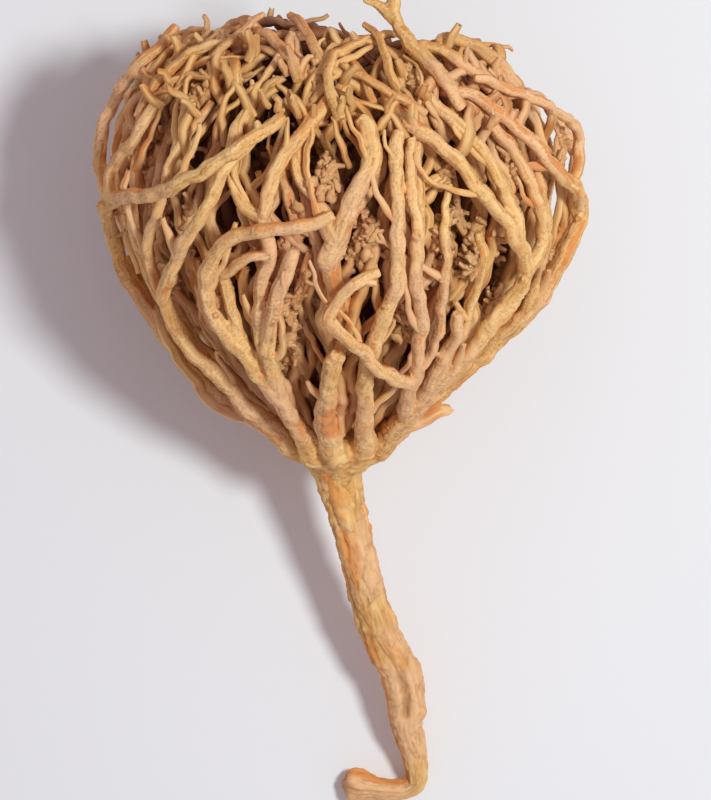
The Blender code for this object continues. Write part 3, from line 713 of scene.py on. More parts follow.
@dataclass
class Weathering:
    """Gives bare stems the kinks, knots, flared forks and broken tips of a dry plant, in mm."""

    seed: int = 17
    bends: tuple[float, ...] = (13.0, 6.1, 3.3)
    knot_width: float = 1.1
    flare: float = 0.42
    flare_width: float = 2.6
    tip_loss: float = 0.15
    tip_width: float = 0.8

    def __post_init__(self) -> None:
        """Starts the draws."""
        self.chance = np.random.default_rng(self.seed)

    def wander(self, along: Array, amplitude: float, waves: Sequence[float]) -> Array:
        """Makes a smooth random shift along a stem, nothing at its foot.

        Args:
            along: the distance of each point from the foot, in mm.
            amplitude: about how far the stem strays, in mm.
            waves: the lengths of the bends, in mm.

        Returns:
            A shift for each point.
        """
        shift = np.zeros((len(along), 3))
        for wave in waves:
            phase = self.chance.uniform(0, 2 * np.pi, 3)
            size = self.chance.uniform(0.5, 1.0, 3) * amplitude * (wave / waves[0]) ** 0.6
            shift += np.sin(2 * np.pi * along[:, None] / wave + phase) * size
        return shift * np.clip(along / 4, 0, 1)[:, None]

    def worn(self, strand: Strand, step: float, kink: float = 0.22) -> Strand:
        """Weathers one stem.

        Args:
            strand: the bare stem.
            step: the spacing of the new points, in mm.
            kink: how far the stem strays from its line, in mm.

        Returns:
            The stem with its kinks and knots.
        """
        points, radii = resampled(strand.points, strand.radii, step)
        fresh = Strand(points, radii, strand.tip, strand.foot)
        along = fresh.along
        fresh.points = points + self.wander(along, kink, self.bends)
        mark = float(self.chance.uniform(2, 7))
        while mark < along[-1] - 2:
            knot = float(self.chance.uniform(0.06, 0.2))
            fresh.radii = fresh.radii * (1 + knot * bell(along - mark, self.knot_width))
            mark += float(self.chance.uniform(4, 10))
        if strand.foot:
            reach = np.maximum(along - strand.foot, 0)
            fresh.radii = fresh.radii * (1 + self.flare * bell(reach, self.flare_width))
            fresh.radii = np.minimum(fresh.radii, np.maximum(radii, strand.foot * 1.05))
        fresh.radii = fresh.radii * (1 - self.tip_loss * bell(along[-1] - along, self.tip_width))
        return fresh


@dataclass
class Undergrowth:
    """Grows the small wood that the solid model leaves out: side twigs, stubs, curls and beads."""

    branches: list[Branch]
    seed: int = 29
    fair_share: float = 0.618034
    between_count: int = 30
    low_count: int = 34
    thicket_count: int = 120
    tangle_count: int = 235
    curl_count: int = 70
    end_count: int = 46
    bead_count: int = 110
    bare_foot: float = 0.16
    turning_in: float = 0.9

    def __post_init__(self) -> None:
        """Starts the draws and lists the branches' points for finding the nearest."""
        self.chance = np.random.default_rng(self.seed)
        places = [point for branch in self.branches for shoot in branch.shoots for point in shoot.points]
        self.nearest = KDTree(len(places))
        for number, place in enumerate(places):
            self.nearest.insert(Vector(place), number)
        self.nearest.balance()

    def draw(self, low: float, high: float) -> float:
        """Draws a number between two bounds."""
        return float(self.chance.uniform(low, high))

    def marks(
        self, kinds: set[Kind], spacing: float, first: float, clear: int
    ) -> Iterator[tuple[Shoot, int]]:
        """Picks points along the branches at uneven distances.

        Args:
            kinds: the kinds of branch to go along.
            spacing: the mean distance between two points, in mm.
            first: the least distance before the first, as a share of the spacing.
            clear: how many points stay free at each tip.

        Returns:
            One shoot and the number of its point after another.
        """
        for branch in self.branches:
            if branch.kind not in kinds:
                continue
            for shoot in branch.shoots:
                mark = self.draw(first, 1.2) * spacing
                while mark < (len(shoot.points) - clear) * GROWTH_STEP:
                    k = int(mark / GROWTH_STEP)
                    mark += self.draw(0.5, 1.5) * spacing
                    yield shoot, k

    def sprout(self, start: Array, heading: Array, length: float, bend: float) -> Array:
        """Grows a path that follows the ball: it turns towards the top and stays below the skin.

        Args:
            start: where it leaves its stem.
            heading: its first direction.
            length: its length in mm.
            bend: how strongly it turns upwards, from 0 to 1.

        Returns:
            The points of the path.
        """
        points, heading = [start], unit(heading)
        for _ in range(max(3, round(length / GROWTH_STEP))):
            here = points[-1]
            out, depth = out_at(here), depth_below_skin(here[None])[0]
            up = climb_at(out)
            if here[2] > self.turning_in * BALL.height:
                up = unit(np.array([-here[0], -here[1], -4.0]))
            heading = heading + bend * 0.3 * up + self.chance.normal(0, 0.14, 3)
            heading -= out * (heading @ out) * 0.5
            heading -= out * np.clip((1.0 - depth) * 0.4, -0.02, 0.8)
            heading = unit(heading)
            points.append(here + GROWTH_STEP * heading)
        return np.array(points)

    def side_twigs(self, kinds: set[Kind], spacing: float, radius: Spread) -> list[Strand]:
        """Grows twigs out of the sides of the branches.

        Args:
            kinds: the kinds of branch that bear them.
            spacing: the mean distance between two twigs, in mm.
            radius: the least and greatest radius of a twig, in mm.

        Returns:
            The twigs.
        """
        twigs = []
        for shoot, k in self.marks(kinds, spacing, 0.4, 3):
            start = shoot.points[k]
            if start[2] / BALL.height < self.bare_foot:
                continue
            along, out = unit(shoot.points[k + 1] - start), out_at(start)
            side = np.cross(along, out) * self.chance.choice([-1, 1])
            spread = math.radians(self.draw(28, 62))
            heading = math.cos(spread) * along + math.sin(spread) * (side - out * self.draw(0.3, 1.2))
            length = self.draw(4, 9) if self.draw(0, 1) < 0.45 else self.draw(9, 20)
            path = self.sprout(start, heading, length, self.draw(0.2, 0.9))
            first = min(self.draw(*radius), shoot.radii[k] * 0.8)
            if not self.outreaching(path, first):
                twigs.append(Strand.tapered(path, first, 0.65, float(shoot.radii[k])))
        return twigs

    def stubs(self, kinds: set[Kind], spacing: float) -> list[Strand]:
        """Breaks short stubs off the branches' sides, a twig's radius thick."""
        stubs = []
        for shoot, k in self.marks(kinds, spacing, 0.2, 2):
            start = shoot.points[k]
            along, out = unit(shoot.points[k + 1] - start), out_at(start)
            turn = self.draw(-1.9, 1.9)
            side = math.sin(turn) * np.cross(along, out) + math.cos(turn) * out
            heading = unit(side + along * self.draw(0.3, 1.3))
            length = shoot.radii[k] + self.draw(0.4, 1.7)
            path = start + np.linspace(0, length, 4)[:, None] * heading
            stubs.append(Strand.tapered(path, self.draw(0.35, 0.6), 0.85, float(shoot.radii[k])))
        return stubs

    def climber(
        self, side: float, drift: float, sway: float, heights: Array, inward: Callable[[int], float],
        stout: Spread, share: float, place: Placing = BALL.on_ball,
    ) -> Strand:
        """Grows one free stem up the ball.

        Args:
            side: the longitude of its foot.
            drift: how far it winds round the ball, in degrees.
            sway: how far it strays to either side, in degrees.
            heights: the heights that it passes, in percent.
            inward: gives the last number of each of its places.
            stout: the least and greatest radius of its foot.
            share: the tip's radius as a share of the foot's.
            place: turns a route point into a place.

        Returns:
            The stem.
        """
        places, last = [], len(heights) - 1
        for k, height in enumerate(heights):
            longitude = side + drift * k / last + self.draw(-sway, sway)
            places.append(place(longitude, height, inward(k)))
        return Strand.tapered(places, self.draw(*stout), share)

    @staticmethod
    def opening(side: float) -> float:
        """Gives how much deeper small wood lies at a longitude, in mm, where a gap between limbs is open."""
        return 2.4 * max(math.exp(-((((side - gap + 180) % 360 - 180) / 7.5) ** 2)) for gap in OPEN_GAPS)

    def between_stems(self) -> list[Strand]:
        """Grows long stems just under the limbs that show, which close the gaps between them."""
        stems = []
        for number in range(self.between_count):
            side = -92 + 184 * (number + 0.5) / self.between_count + self.draw(-5, 5)
            depth = self.draw(3.2, 7.5) + self.opening(side)
            heights = np.linspace(self.draw(14, 34), self.draw(72, 97), 9)
            drift = self.draw(-14, 14)
            stems.append(self.climber(
                side, drift, 3.5, heights, lambda k, deep=depth: deep + self.draw(-0.9, 0.9), (0.65, 1.0), 0.7
            ))
        return stems

    def low_stems(self) -> list[Strand]:
        """Grows stems that close the gaps between the limbs' feet, all round the crown."""
        stems = []
        for number in range(self.low_count):
            side = 360 * (number + 0.5) / self.low_count + self.draw(-5, 5)
            depth, drift = self.draw(2.2, 3.6) + 2 * self.opening(side), self.draw(-9, 9)
            heights = np.linspace(self.draw(4, 8), self.draw(38, 62), 7)
            stems.append(self.climber(
                side, drift, 2.5, heights, lambda k, depth=depth: depth + 0.35 * k, (0.8, 1.1), 0.7
            ))
        return stems

    def thicket(self) -> list[Strand]:
        """Grows the stems that fill the ball behind the ones that show."""
        stems = []
        for number in range(self.thicket_count):
            side = 360 * (number * self.fair_share % 1)
            out = self.draw(0.3, 0.8)
            heights = np.linspace(self.draw(5, 34), self.draw(66, 96), 7)
            drift = self.draw(-25, 25)
            stems.append(self.climber(
                side, drift, 6, heights, lambda k, out=out: out + self.draw(-0.05, 0.05), (0.7, 1.1), 0.75,
                BALL.in_heart,
            ))
        return stems

    def top_tangle(self) -> list[Strand]:
        """Grows short stout twigs that lie across one another over the top of the ball, broken off blunt."""
        twigs = []
        for number in range(self.tangle_count):
            longitude, height = self.draw(-110, 110), self.draw(74, 96)
            if number % 4 == 0:
                longitude, height = self.draw(100, 260), self.draw(80, 98)
            depth = self.draw(0.4, 4.6)
            length = self.draw(4, 12) if number % 3 else self.draw(11, 19)
            start = BALL.on_ball(longitude, height, depth)
            out = out_at(start)
            up = climb_at(out)
            climb, across, lift = self.draw(0.45, 1.0), self.draw(-0.75, 0.75), self.draw(-0.3, 0.25)
            heading = unit(up * climb + np.cross(up, out) * across + out * lift)
            bow = np.cross(heading, out) * self.draw(-0.22, 0.22)
            run = np.linspace(0, length, max(4, round(length / 2)))
            path = start + run[:, None] * heading + (run**2 / length)[:, None] * bow
            path -= outward(path) * np.maximum(0.7 - depth_below_skin(path), 0)[:, None]
            path -= out * (3.2 * bell(run, 2.2))[:, None]
            first = self.draw(0.42, 1.02)
            if not self.outreaching(path, first):
                twigs.append(Strand.tapered(path, first, self.draw(0.55, 0.85)))
        return twigs

    def mouth_curls(self) -> list[Strand]:
        """Grows curls that wind in over the mouth of the ball, in layers, from all sides but the front."""
        curls = []
        for number in range(self.curl_count):
            side = 60 + 240 * (number * self.fair_share % 1)
            low, wide, turn = self.draw(-13.0, -2.0), self.draw(0.72, 1.0), self.draw(0.3, 1.1)
            places = np.array([
                BALL.in_plant(side + turn * swing, radius * wide, height + low)
                for swing, radius, height in MOUTH_CURL
            ])
            first = self.draw(0.6, 0.95)
            curls.append(Strand.tapered(places + self.chance.normal(0, 0.5, places.shape), first, 0.65))
        return [curl for curl in curls if not self.outreaching(curl.points, 1.0)]

    def broken_ends(self) -> list[Strand]:
        """Grows the short blunt ends that stand out of the top's outline."""
        ends = []
        for _ in range(self.end_count):
            start = BALL.on_ball(self.draw(-100, 100), self.draw(80, 97), self.draw(1.0, 2.6))
            heading = unit(out_at(start) + np.array([self.draw(-0.8, 0.8), 0, self.draw(0.2, 1.4)]))
            path = start + np.linspace(0, self.draw(2.2, 5.0), 4)[:, None] * heading
            path[1:3] += self.chance.normal(0, 0.22, (2, 3))
            first = self.draw(0.45, 0.8)
            limit = SETTLING.limit(path[:, 0]) + 1.3
            if (LIE.turned(path)[:, 1] + first < limit).all():
                ends.append(Strand.tapered(path, first, 0.8))
        return ends

    def outreaching(self, path: Array, radius: float) -> bool:
        """Tells whether a path leaves the outline that the settled branches keep to."""
        lying = LIE.turned(path)
        return bool((lying[:, 1] + radius > SETTLING.limit(lying[:, 0])).any())

    def forked(self, stems: list[Strand], chance: float) -> list[Strand]:
        """Adds forks to free stems.

        Args:
            stems: the stems that may fork.
            chance: the share of them that do.

        Returns:
            The forks alone.
        """
        forks = []
        for stem in stems:
            if len(stem.points) < 5 or self.draw(0, 1) > chance:
                continue
            k = int(self.draw(0.3, 0.75) * (len(stem.points) - 1))
            start, along = stem.points[k], unit(stem.points[k + 1] - stem.points[k])
            side = np.cross(along, out_at(start)) * self.chance.choice([-1, 1])
            heading = along + side * self.draw(0.5, 1.0)
            path = self.sprout(start, heading, self.draw(5, 13), self.draw(0.2, 0.8))
            thick = float(stem.radii[k])
            forks.append(Strand.tapered(path, thick * 0.85, 0.65, thick))
        return forks

    def beads(self, stems: list[Strand]) -> tuple[list[Lump], list[Strand]]:
        """Sets the dry husks of old pods along the inner stems, and more where the ball is open.

        Args:
            stems: the stems that may bear them.

        Returns:
            The lumps and the husks.
        """
        lumps, husks = [], []
        bearers = [stem for stem in stems if len(stem.points) > 4]
        for _ in range(self.bead_count):
            stem = bearers[int(self.chance.integers(len(bearers)))]
            k = int(self.chance.integers(1, len(stem.points) - 1))
            along = unit(stem.points[k] - stem.points[k - 1])
            self.crumble(stem.points[k], along, (0.7, 2.0), int(self.chance.integers(3, 7)), lumps, husks)
        for longitude, height, depth, size, number in CRUMBS:
            middle = BALL.on_ball(longitude, height, depth)
            self.crumble(middle, climb_at(out_at(middle)), (size, size * 2.2), number, lumps, husks)
        return lumps, husks

    def crumble(
        self, middle: Array, along: Array, spread: Spread, number: int,
        lumps: list[Lump], husks: list[Strand],
    ) -> None:
        """Heaps crumbs and curled husks about a place.

        Args:
            middle: the middle of the heap.
            along: the direction in which it is long.
            spread: how far it reaches across and along, in mm.
            number: how many crumbs it has.
            lumps: takes the crumbs.
            husks: takes the husks.
        """
        for _ in range(number):
            across = self.chance.normal(0, 0.45 * spread[0], 3)
            place = middle + across + along * self.chance.normal(0, 0.45 * spread[1])
            if depth_below_skin(place[None])[0] < 1.8:
                continue
            aim = unit(along + self.chance.normal(0, 0.6, 3))
            lumps.append(Lump(place, self.draw(0.5, 1.1), aim))
            for _ in range(int(self.chance.integers(0, 3))):
                way = unit(aim + self.chance.normal(0, 0.7, 3)) * self.draw(0.9, 2.0)
                curl = self.chance.normal(0, 0.3, 3)
                husk = np.array([place, place + way * 0.5 + curl, place + way + curl * 0.3])
                husks.append(Strand(husk, np.array([0.5, 0.44, 0.32])))

    def pod(self, middle: Array) -> tuple[list[Strand], list[Lump]]:
        """Makes one pod: a fat shell, smaller shells round it and a stalk to the nearest stem.

        Args:
            middle: the pod's centre.

        Returns:
            The stalk and the shells.
        """
        lumps = [Lump(middle, 1.35, unit(self.chance.normal(0, 1, 3)))]
        for _ in range(5):
            way = unit(self.chance.normal(0, 1, 3))
            lumps.append(Lump(middle + way * self.draw(0.7, 1.1), self.draw(0.6, 0.9), way))
        nearest = [np.array(place) for place, _, _ in self.nearest.find_n(Vector(middle), 12)]
        away = [place for place in nearest if np.linalg.norm(place - middle) > 1.9] or nearest[-1:]
        return [Strand(np.linspace(away[0], middle, 5), np.full(5, 0.45), tip=0.0)], lumps


CRUMBS: tuple[tuple[float, float, float, float, int], ...] = (
    (-20, 34, 4.5, 2.0, 34), (-16, 40, 5, 1.7, 20), (19, 35, 4.5, 1.8, 26), (6, 58, 5, 1.9, 24),
    (3, 52, 6, 1.4, 16), (27, 57, 4.5, 1.5, 18), (37, 50, 4.5, 1.6, 24), (-5, 72, 4, 1.6, 22),
    (-62, 43, 4, 1.5, 20), (-48, 86, 3, 1.6, 20), (-36, 44, 4, 1.3, 14), (48, 70, 4, 1.5, 18),
    (-30, 24, 5, 1.5, 20), (12, 20, 5, 1.5, 20), (0, 13, 4.5, 1.3, 16), (58, 34, 5, 1.6, 20),
    (-8, 90, 3, 1.6, 20), (22, 90, 3, 1.5, 20), (140, 60, 4, 1.8, 22), (-150, 48, 4, 1.8, 22),
    (180, 76, 4, 1.8, 22), (100, 40, 4, 1.6, 20), (-110, 60, 4, 1.6, 20), (-70, 74, 4, 1.5, 18),
)
OUTER_STEMS: tuple[tuple[Route, float], ...] = (
    (((-90, 4, 1.5), (-89, 9, 0.6), (-87, 14, -1.0), (-85, 19, -1.2), (-84, 26, 0.2), (-85, 34, 1.4)), 1.05),
    (((70, 7, 2.4), (75, 10, 1.2), (80, 12.4, 0.4), (85, 13.2, -0.5)), 1.35),
    (((-92, 46, 2.2), (-95, 55, 2.4), (-94, 64, 2.2), (-91, 73, 2.4), (-84, 82, 2.6), (-74, 89, 2.8)), 0.85),
    (((-80, 42, 2.8), (-83, 53, 3.2), (-85, 64, 3.6), (-82, 75, 3.4), (-74, 86, 2.6)), 0.85),
    (((-100, 40, 1.8), (-101, 52, 2.6), (-99, 66, 3.4), (-96, 78, 3.6), (-86, 88, 3.2)), 0.8),
)
OPEN_GAPS: tuple[float, ...] = (-72, -45, -14, 20, 60)
MOUTH_CURL: Route = (
    (0, 27, 56), (4, 25.5, 63), (12, 20.5, 68.5), (28, 14.5, 71), (52, 8.5, 70), (90, 4.5, 66)
)
CURVED_TWIG: Route = ((-9, 53, 5.5), (-11, 47, 5.0), (-13.5, 40, 5.2), (-11, 32, 5.6), (-7, 25, 5.2))


Wire = float | int | tuple[float, ...] | Socket | Body | Material
Wires = dict[str | int, Wire]


class Net:
    """Adds nodes to a tree and joins them up."""

    def __init__(self, tree: Tree) -> None:
        """Takes the tree that the nodes go into."""
        self.tree = tree

    def add(self, kind: str, wires: Wires | None = None, **settings: object) -> bpy.types.Node:
        """Adds a node.

        Args:
            kind: its type name.
            wires: a value or another node's socket for each named input.
            settings: its other properties.

        Returns:
            The new node.
        """
        node = self.tree.nodes.new(kind)
        for key, value in settings.items():
            setattr(node, key, value)
        for key, value in (wires or {}).items():
            if isinstance(value, Socket):
                self.tree.links.new(value, node.inputs[key])
            else:
                node.inputs[key].default_value = value
        return node

    def out(self, kind: str, wires: Wires | None = None, **settings: object) -> Socket:
        """Adds a node and gives its first output's socket."""
        return self.add(kind, wires, **settings).outputs[0]

    def times(self, first: Wire, second: Wire) -> Socket:
        """Multiplies two numbers and gives the result's socket."""
        return self.math("MULTIPLY", first, second)

    def math(self, operation: str, *values: Wire) -> Socket:
        """Combines numbers and gives the result's socket."""
        return self.out("ShaderNodeMath", dict(enumerate(values)), operation=operation)

    def vector(self, operation: str, first: Wire, second: Wire = (0, 0, 0)) -> Socket:
        """Combines two vectors and gives the result's socket."""
        return self.out("ShaderNodeVectorMath", {0: first, 1: second}, operation=operation)

    def scaled(self, vector: Wire, factor: Wire) -> Socket:
        """Scales a vector by a number and gives the result's socket."""
        return self.out("ShaderNodeVectorMath", {0: vector, "Scale": factor}, operation="SCALE")

    def noise(
        self, place: Wire, scale: float, detail: float = 2.0, rough: float = 0.5, wave: Wire | None = None
    ) -> Socket:
        """Adds a noise texture, with a fourth coordinate if one is given, and gives its value's socket."""
        wires = {"Vector": place, "Scale": scale, "Detail": detail, "Roughness": rough}
        if wave is None:
            return self.out("ShaderNodeTexNoise", wires)
        return self.out("ShaderNodeTexNoise", {**wires, "W": wave}, noise_dimensions="4D")

    def grainy(
        self, grain: Wire, travel: Wire, scale: float, detail: float, stretch: float, rough: float = 0.5
    ) -> Socket:
        """Adds noise that is fine round a stem and drawn out along it, and gives its value's socket."""
        return self.noise(self.scaled(grain, scale), 1.0, detail, rough, self.times(travel, stretch))

    def ranged(
        self, value: Wire, low: float, high: float, first: float = 0.0, last: float = 1.0
    ) -> Socket:
        """Maps a number smoothly from one range to another and gives the result's socket."""
        wires = {"Value": value, "From Min": low, "From Max": high, "To Min": first, "To Max": last}
        return self.add("ShaderNodeMapRange", wires, interpolation_type="SMOOTHSTEP").outputs["Result"]

    def attribute(self, name: str, kind: str = "FLOAT") -> Socket:
        """Reads a named attribute inside Geometry Nodes and gives its socket."""
        return self.out("GeometryNodeInputNamedAttribute", {"Name": name}, data_type=kind)

    def stored(self, mesh: Wire, name: str, value: Wire, kind: str = "FLOAT") -> Socket:
        """Writes a named point attribute and gives the geometry's socket."""
        wires = {"Geometry": mesh, "Name": name, "Value": value}
        return self.out("GeometryNodeStoreNamedAttribute", wires, data_type=kind, domain="POINT")

    def close(self, mesh: Wire, bark: Wire) -> None:
        """Ends a geometry tree with real faces in their material."""
        mesh = self.out("GeometryNodeRealizeInstances", {"Geometry": mesh})
        mesh = self.out("GeometryNodeSetMaterial", {"Geometry": mesh, "Material": bark})
        self.add("NodeGroupOutput", {"Geometry": mesh})


@dataclass(frozen=True)
class Skin:
    """How the bark of one kind of stem is built; a melt of 0 leaves its tubes as they are, in mm."""

    sides: int = 20
    step: float = 0.7
    ridges: float = 0.10
    furrows: float = 0.09
    beads: int = 2
    melt: float = 0.0


def inputs(tree: Tree, **kinds: str) -> None:
    """Gives a tree its named inputs, geometry first, and its geometry output."""
    tree.interface.new_socket("Geometry", in_out="INPUT", socket_type="NodeSocketGeometry")
    for name, kind in kinds.items():
        tree.interface.new_socket(name, in_out="INPUT", socket_type="NodeSocket" + kind)
    tree.interface.new_socket("Geometry", in_out="OUTPUT", socket_type="NodeSocketGeometry")


def relief_tree() -> Tree:
    """Builds the node tree that shapes bark on a stem's surface.

    The surface carries the direction out of the stem (grain), the distance along it in mm (travel), its
    radius (thickness), its direction (heading) and how much of a broken tip each point is (tip).

    Returns:
        The tree, with the inputs Ridges, Furrows and Bark.
    """
    tree = bpy.data.node_groups.new("bark_relief", "GeometryNodeTree")
    inputs(tree, Ridges="Float", Furrows="Float", Bark="Material")
    net = Net(tree)
    group = net.add("NodeGroupInput").outputs
    grain, travel = net.attribute("grain", "FLOAT_VECTOR"), net.attribute("travel")
    form = net.ranged(net.grainy(grain, travel, 0.75, 1.0, 0.11), 0.25, 0.75, -1.0, 1.0)
    lumpy = net.ranged(net.grainy(grain, travel, 1.3, 2.0, 0.42), 0.25, 0.75, -0.42, 0.42)
    fine = net.ranged(net.grainy(grain, travel, 3.4, 2.0, 0.5), 0.25, 0.75, -0.3, 0.3)
    line = net.grainy(grain, travel, 1.9, 1.5, 0.055)
    furrow = net.ranged(net.math("ABSOLUTE", net.math("SUBTRACT", line, 0.5)), 0.0, 0.035, 1.0, 0.0)
    swell = net.times(net.math("ADD", net.math("ADD", form, lumpy), fine), group["Ridges"])
    amount = net.math("SUBTRACT", swell, net.times(furrow, group["Furrows"]))
    thick = net.attribute("thickness")
    spread = net.scaled(net.out("GeometryNodeInputNormal"), net.times(amount, thick))
    splinter = net.ranged(net.grainy(grain, travel, 1.7, 2.0, 1.0), 0.3, 0.7, -0.35, 0.75)
    snap = net.times(net.times(net.attribute("tip"), splinter), thick)
    spread = net.vector("ADD", spread, net.scaled(net.attribute("heading", "FLOAT_VECTOR"), snap))
    mesh = net.stored(group["Geometry"], "groove", furrow)
    mesh = net.out("GeometryNodeSetPosition", {"Geometry": mesh, "Offset": spread})
    mesh = net.out("GeometryNodeSetShadeSmooth", {"Geometry": mesh, "Shade Smooth": True})
    net.close(mesh, group["Bark"])
    return tree


def stem_tree() -> Tree:
    """Builds the node tree that turns stem lines into plain closed stems, and loose points into beads.

    Returns:
        The tree, with the inputs Sides, Beads and Bark.
    """
    tree = bpy.data.node_groups.new("plain_stems", "GeometryNodeTree")
    inputs(tree, Sides="Int", Beads="Int", Bark="Material")
    net = Net(tree)
    group = net.add("NodeGroupInput").outputs
    line = net.add("GeometryNodeMeshToCurve", {"Mesh": group["Geometry"]}).outputs["Curve"]
    line = net.stored(line, "heading", net.out("GeometryNodeInputTangent"), "FLOAT_VECTOR")
    wires = {"Resolution": group["Sides"], "Radius": 1.0}
    circle = net.add("GeometryNodeCurvePrimitiveCircle", wires).outputs["Curve"]
    circle = net.stored(circle, "grain", net.out("GeometryNodeInputPosition"), "FLOAT_VECTOR")
    wires = {"Curve": line, "Profile Curve": circle, "Scale": net.attribute("thickness"), "Fill Caps": True}
    stem = net.add("GeometryNodeCurveToMesh", wires).outputs["Mesh"]

    bead = net.out("GeometryNodeMeshIcoSphere", {"Radius": 1.0, "Subdivisions": group["Beads"]})
    aim = net.attribute("aim", "FLOAT_VECTOR")
    turn = net.out("FunctionNodeAlignRotationToVector", {"Vector": aim}, axis="Z")
    wires = {"Min": (0.6, 0.55, 1.0), "Max": (0.95, 0.9, 1.8), "Seed": 9}
    stretch = net.out("FunctionNodeRandomValue", wires, data_type="FLOAT_VECTOR")
    lump = net.attribute("lump")
    wires = {
        "Points": group["Geometry"], "Selection": net.math("GREATER_THAN", lump, 1e-6), "Instance": bead,
        "Rotation": turn, "Scale": net.scaled(stretch, lump),
    }
    beads = net.out("GeometryNodeInstanceOnPoints", wires)
    beads = net.out("GeometryNodeRealizeInstances", {"Geometry": beads})
    place = net.out("GeometryNodeInputPosition")
    knobs = net.ranged(net.noise(place, 1100.0, 2.0, 0.6), 0.25, 0.75, -0.45, 0.3)
    swell = net.scaled(net.out("GeometryNodeInputNormal"), net.times(knobs, lump))
    beads = net.stored(beads, "grain", net.scaled(place, 700.0), "FLOAT_VECTOR")
    beads = net.out("GeometryNodeSetPosition", {"Geometry": beads, "Offset": swell})
    both = net.add("GeometryNodeJoinGeometry")
    tree.links.new(stem, both.inputs[0])
    tree.links.new(beads, both.inputs[0])
    net.close(both.outputs[0], group["Bark"])
    return tree


def linked(name: str, mesh: Mesh) -> Body:
    """Puts a mesh in the scene as an object at the origin."""
    body = bpy.data.objects.new(name, mesh)
    bpy.context.scene.collection.objects.link(body)
    return body


def write_field(mesh: Mesh, name: str, values: Array) -> None:
    """Stores a number or a vector for each point of a mesh."""
    flat = np.asarray(values, np.float32)
    old = mesh.attributes.get(name)
    if old:
        mesh.attributes.remove(old)
    column = mesh.attributes.new(name, "FLOAT" if flat.ndim == 1 else "FLOAT_VECTOR", "POINT")
    column.data.foreach_set("value" if flat.ndim == 1 else "vector", flat.ravel())


def places_of(mesh: Mesh) -> Array:
    """Reads the points of a mesh."""
    flat = np.empty(len(mesh.vertices) * 3, np.float32)
    mesh.vertices.foreach_get("co", flat)
    return flat.reshape(-1, 3).astype(float)


def melted(body: Body, grid: float, rounds: int = 4) -> None:
    """Adds the modifiers that melt touching solids into one skin.

    Args:
        body: the object.
        grid: the spacing of the new skin's points, in mm.
        rounds: how often the skin is smoothed.
    """
    melt = body.modifiers.new("melt", "REMESH")
    melt.mode = "VOXEL"
    melt.voxel_size = grid * MM
    soften = body.modifiers.new("soften", "SMOOTH")
    soften.iterations = rounds
    soften.factor = 0.5


def hardened(body: Body) -> Mesh:
    """Gives an object's plain mesh with its modifiers applied, and removes the object."""
    bpy.context.view_layer.update()
    mesh = bpy.data.meshes.new_from_object(body.evaluated_get(bpy.context.evaluated_depsgraph_get()))
    bpy.data.objects.remove(body)
    return mesh


AT_ONCE = 2000


def follow_stems(mesh: Mesh, strands: list[Strand], seed: float) -> None:
    """Tells each point of a melted skin where it lies on the stems: outward direction, distance and radius.

    Args:
        mesh: the skin.
        strands: the stems inside it.
        seed: the distance at which the first stem starts.
    """
    stretches = []
    for strand in strands:
        line, along = LIE.on_floor(strand.points), strand.along
        tips = np.append(np.zeros(len(line) - 2), strand.tip)
        travels = along[:-1] + strand.base + seed
        stretches.append((line[:-1], line[1:], travels, np.diff(along), strand.radii[:-1], tips))
    starts, ends, travels, runs, thick, tips = (np.concatenate(column) for column in zip(*stretches))
    way = ends - starts
    length = (way**2).sum(1)
    places = places_of(mesh)
    out, heading = np.zeros((2, len(places), 3))
    travel, radius, tip = np.zeros((3, len(places)))
    for first in range(0, len(places), AT_ONCE):
        here = slice(first, first + AT_ONCE)
        off = places[here, None] - starts[None]
        share = np.clip((off * way[None]).sum(-1) / length, 0, 1)
        gap = off - share[..., None] * way[None]
        best = (np.linalg.norm(gap, axis=-1) / thick[None]).argmin(1)
        rows = np.arange(len(best))
        out[here], heading[here] = unit(gap[rows, best]), unit(way[best])
        travel[here] = travels[best] + share[rows, best] * runs[best]
        radius[here] = thick[best] * MM
        tip[here] = tips[best] * (share[rows, best] >= 1)
    fields = {"grain": out, "travel": travel, "thickness": radius, "heading": heading, "tip": tip}
    # depth below the ball's skin, which the bark reads for its painted shade
    fields["depth"] = depth_below_skin(LIE.upright(places))
    for name, values in fields.items():
        write_field(mesh, name, values)


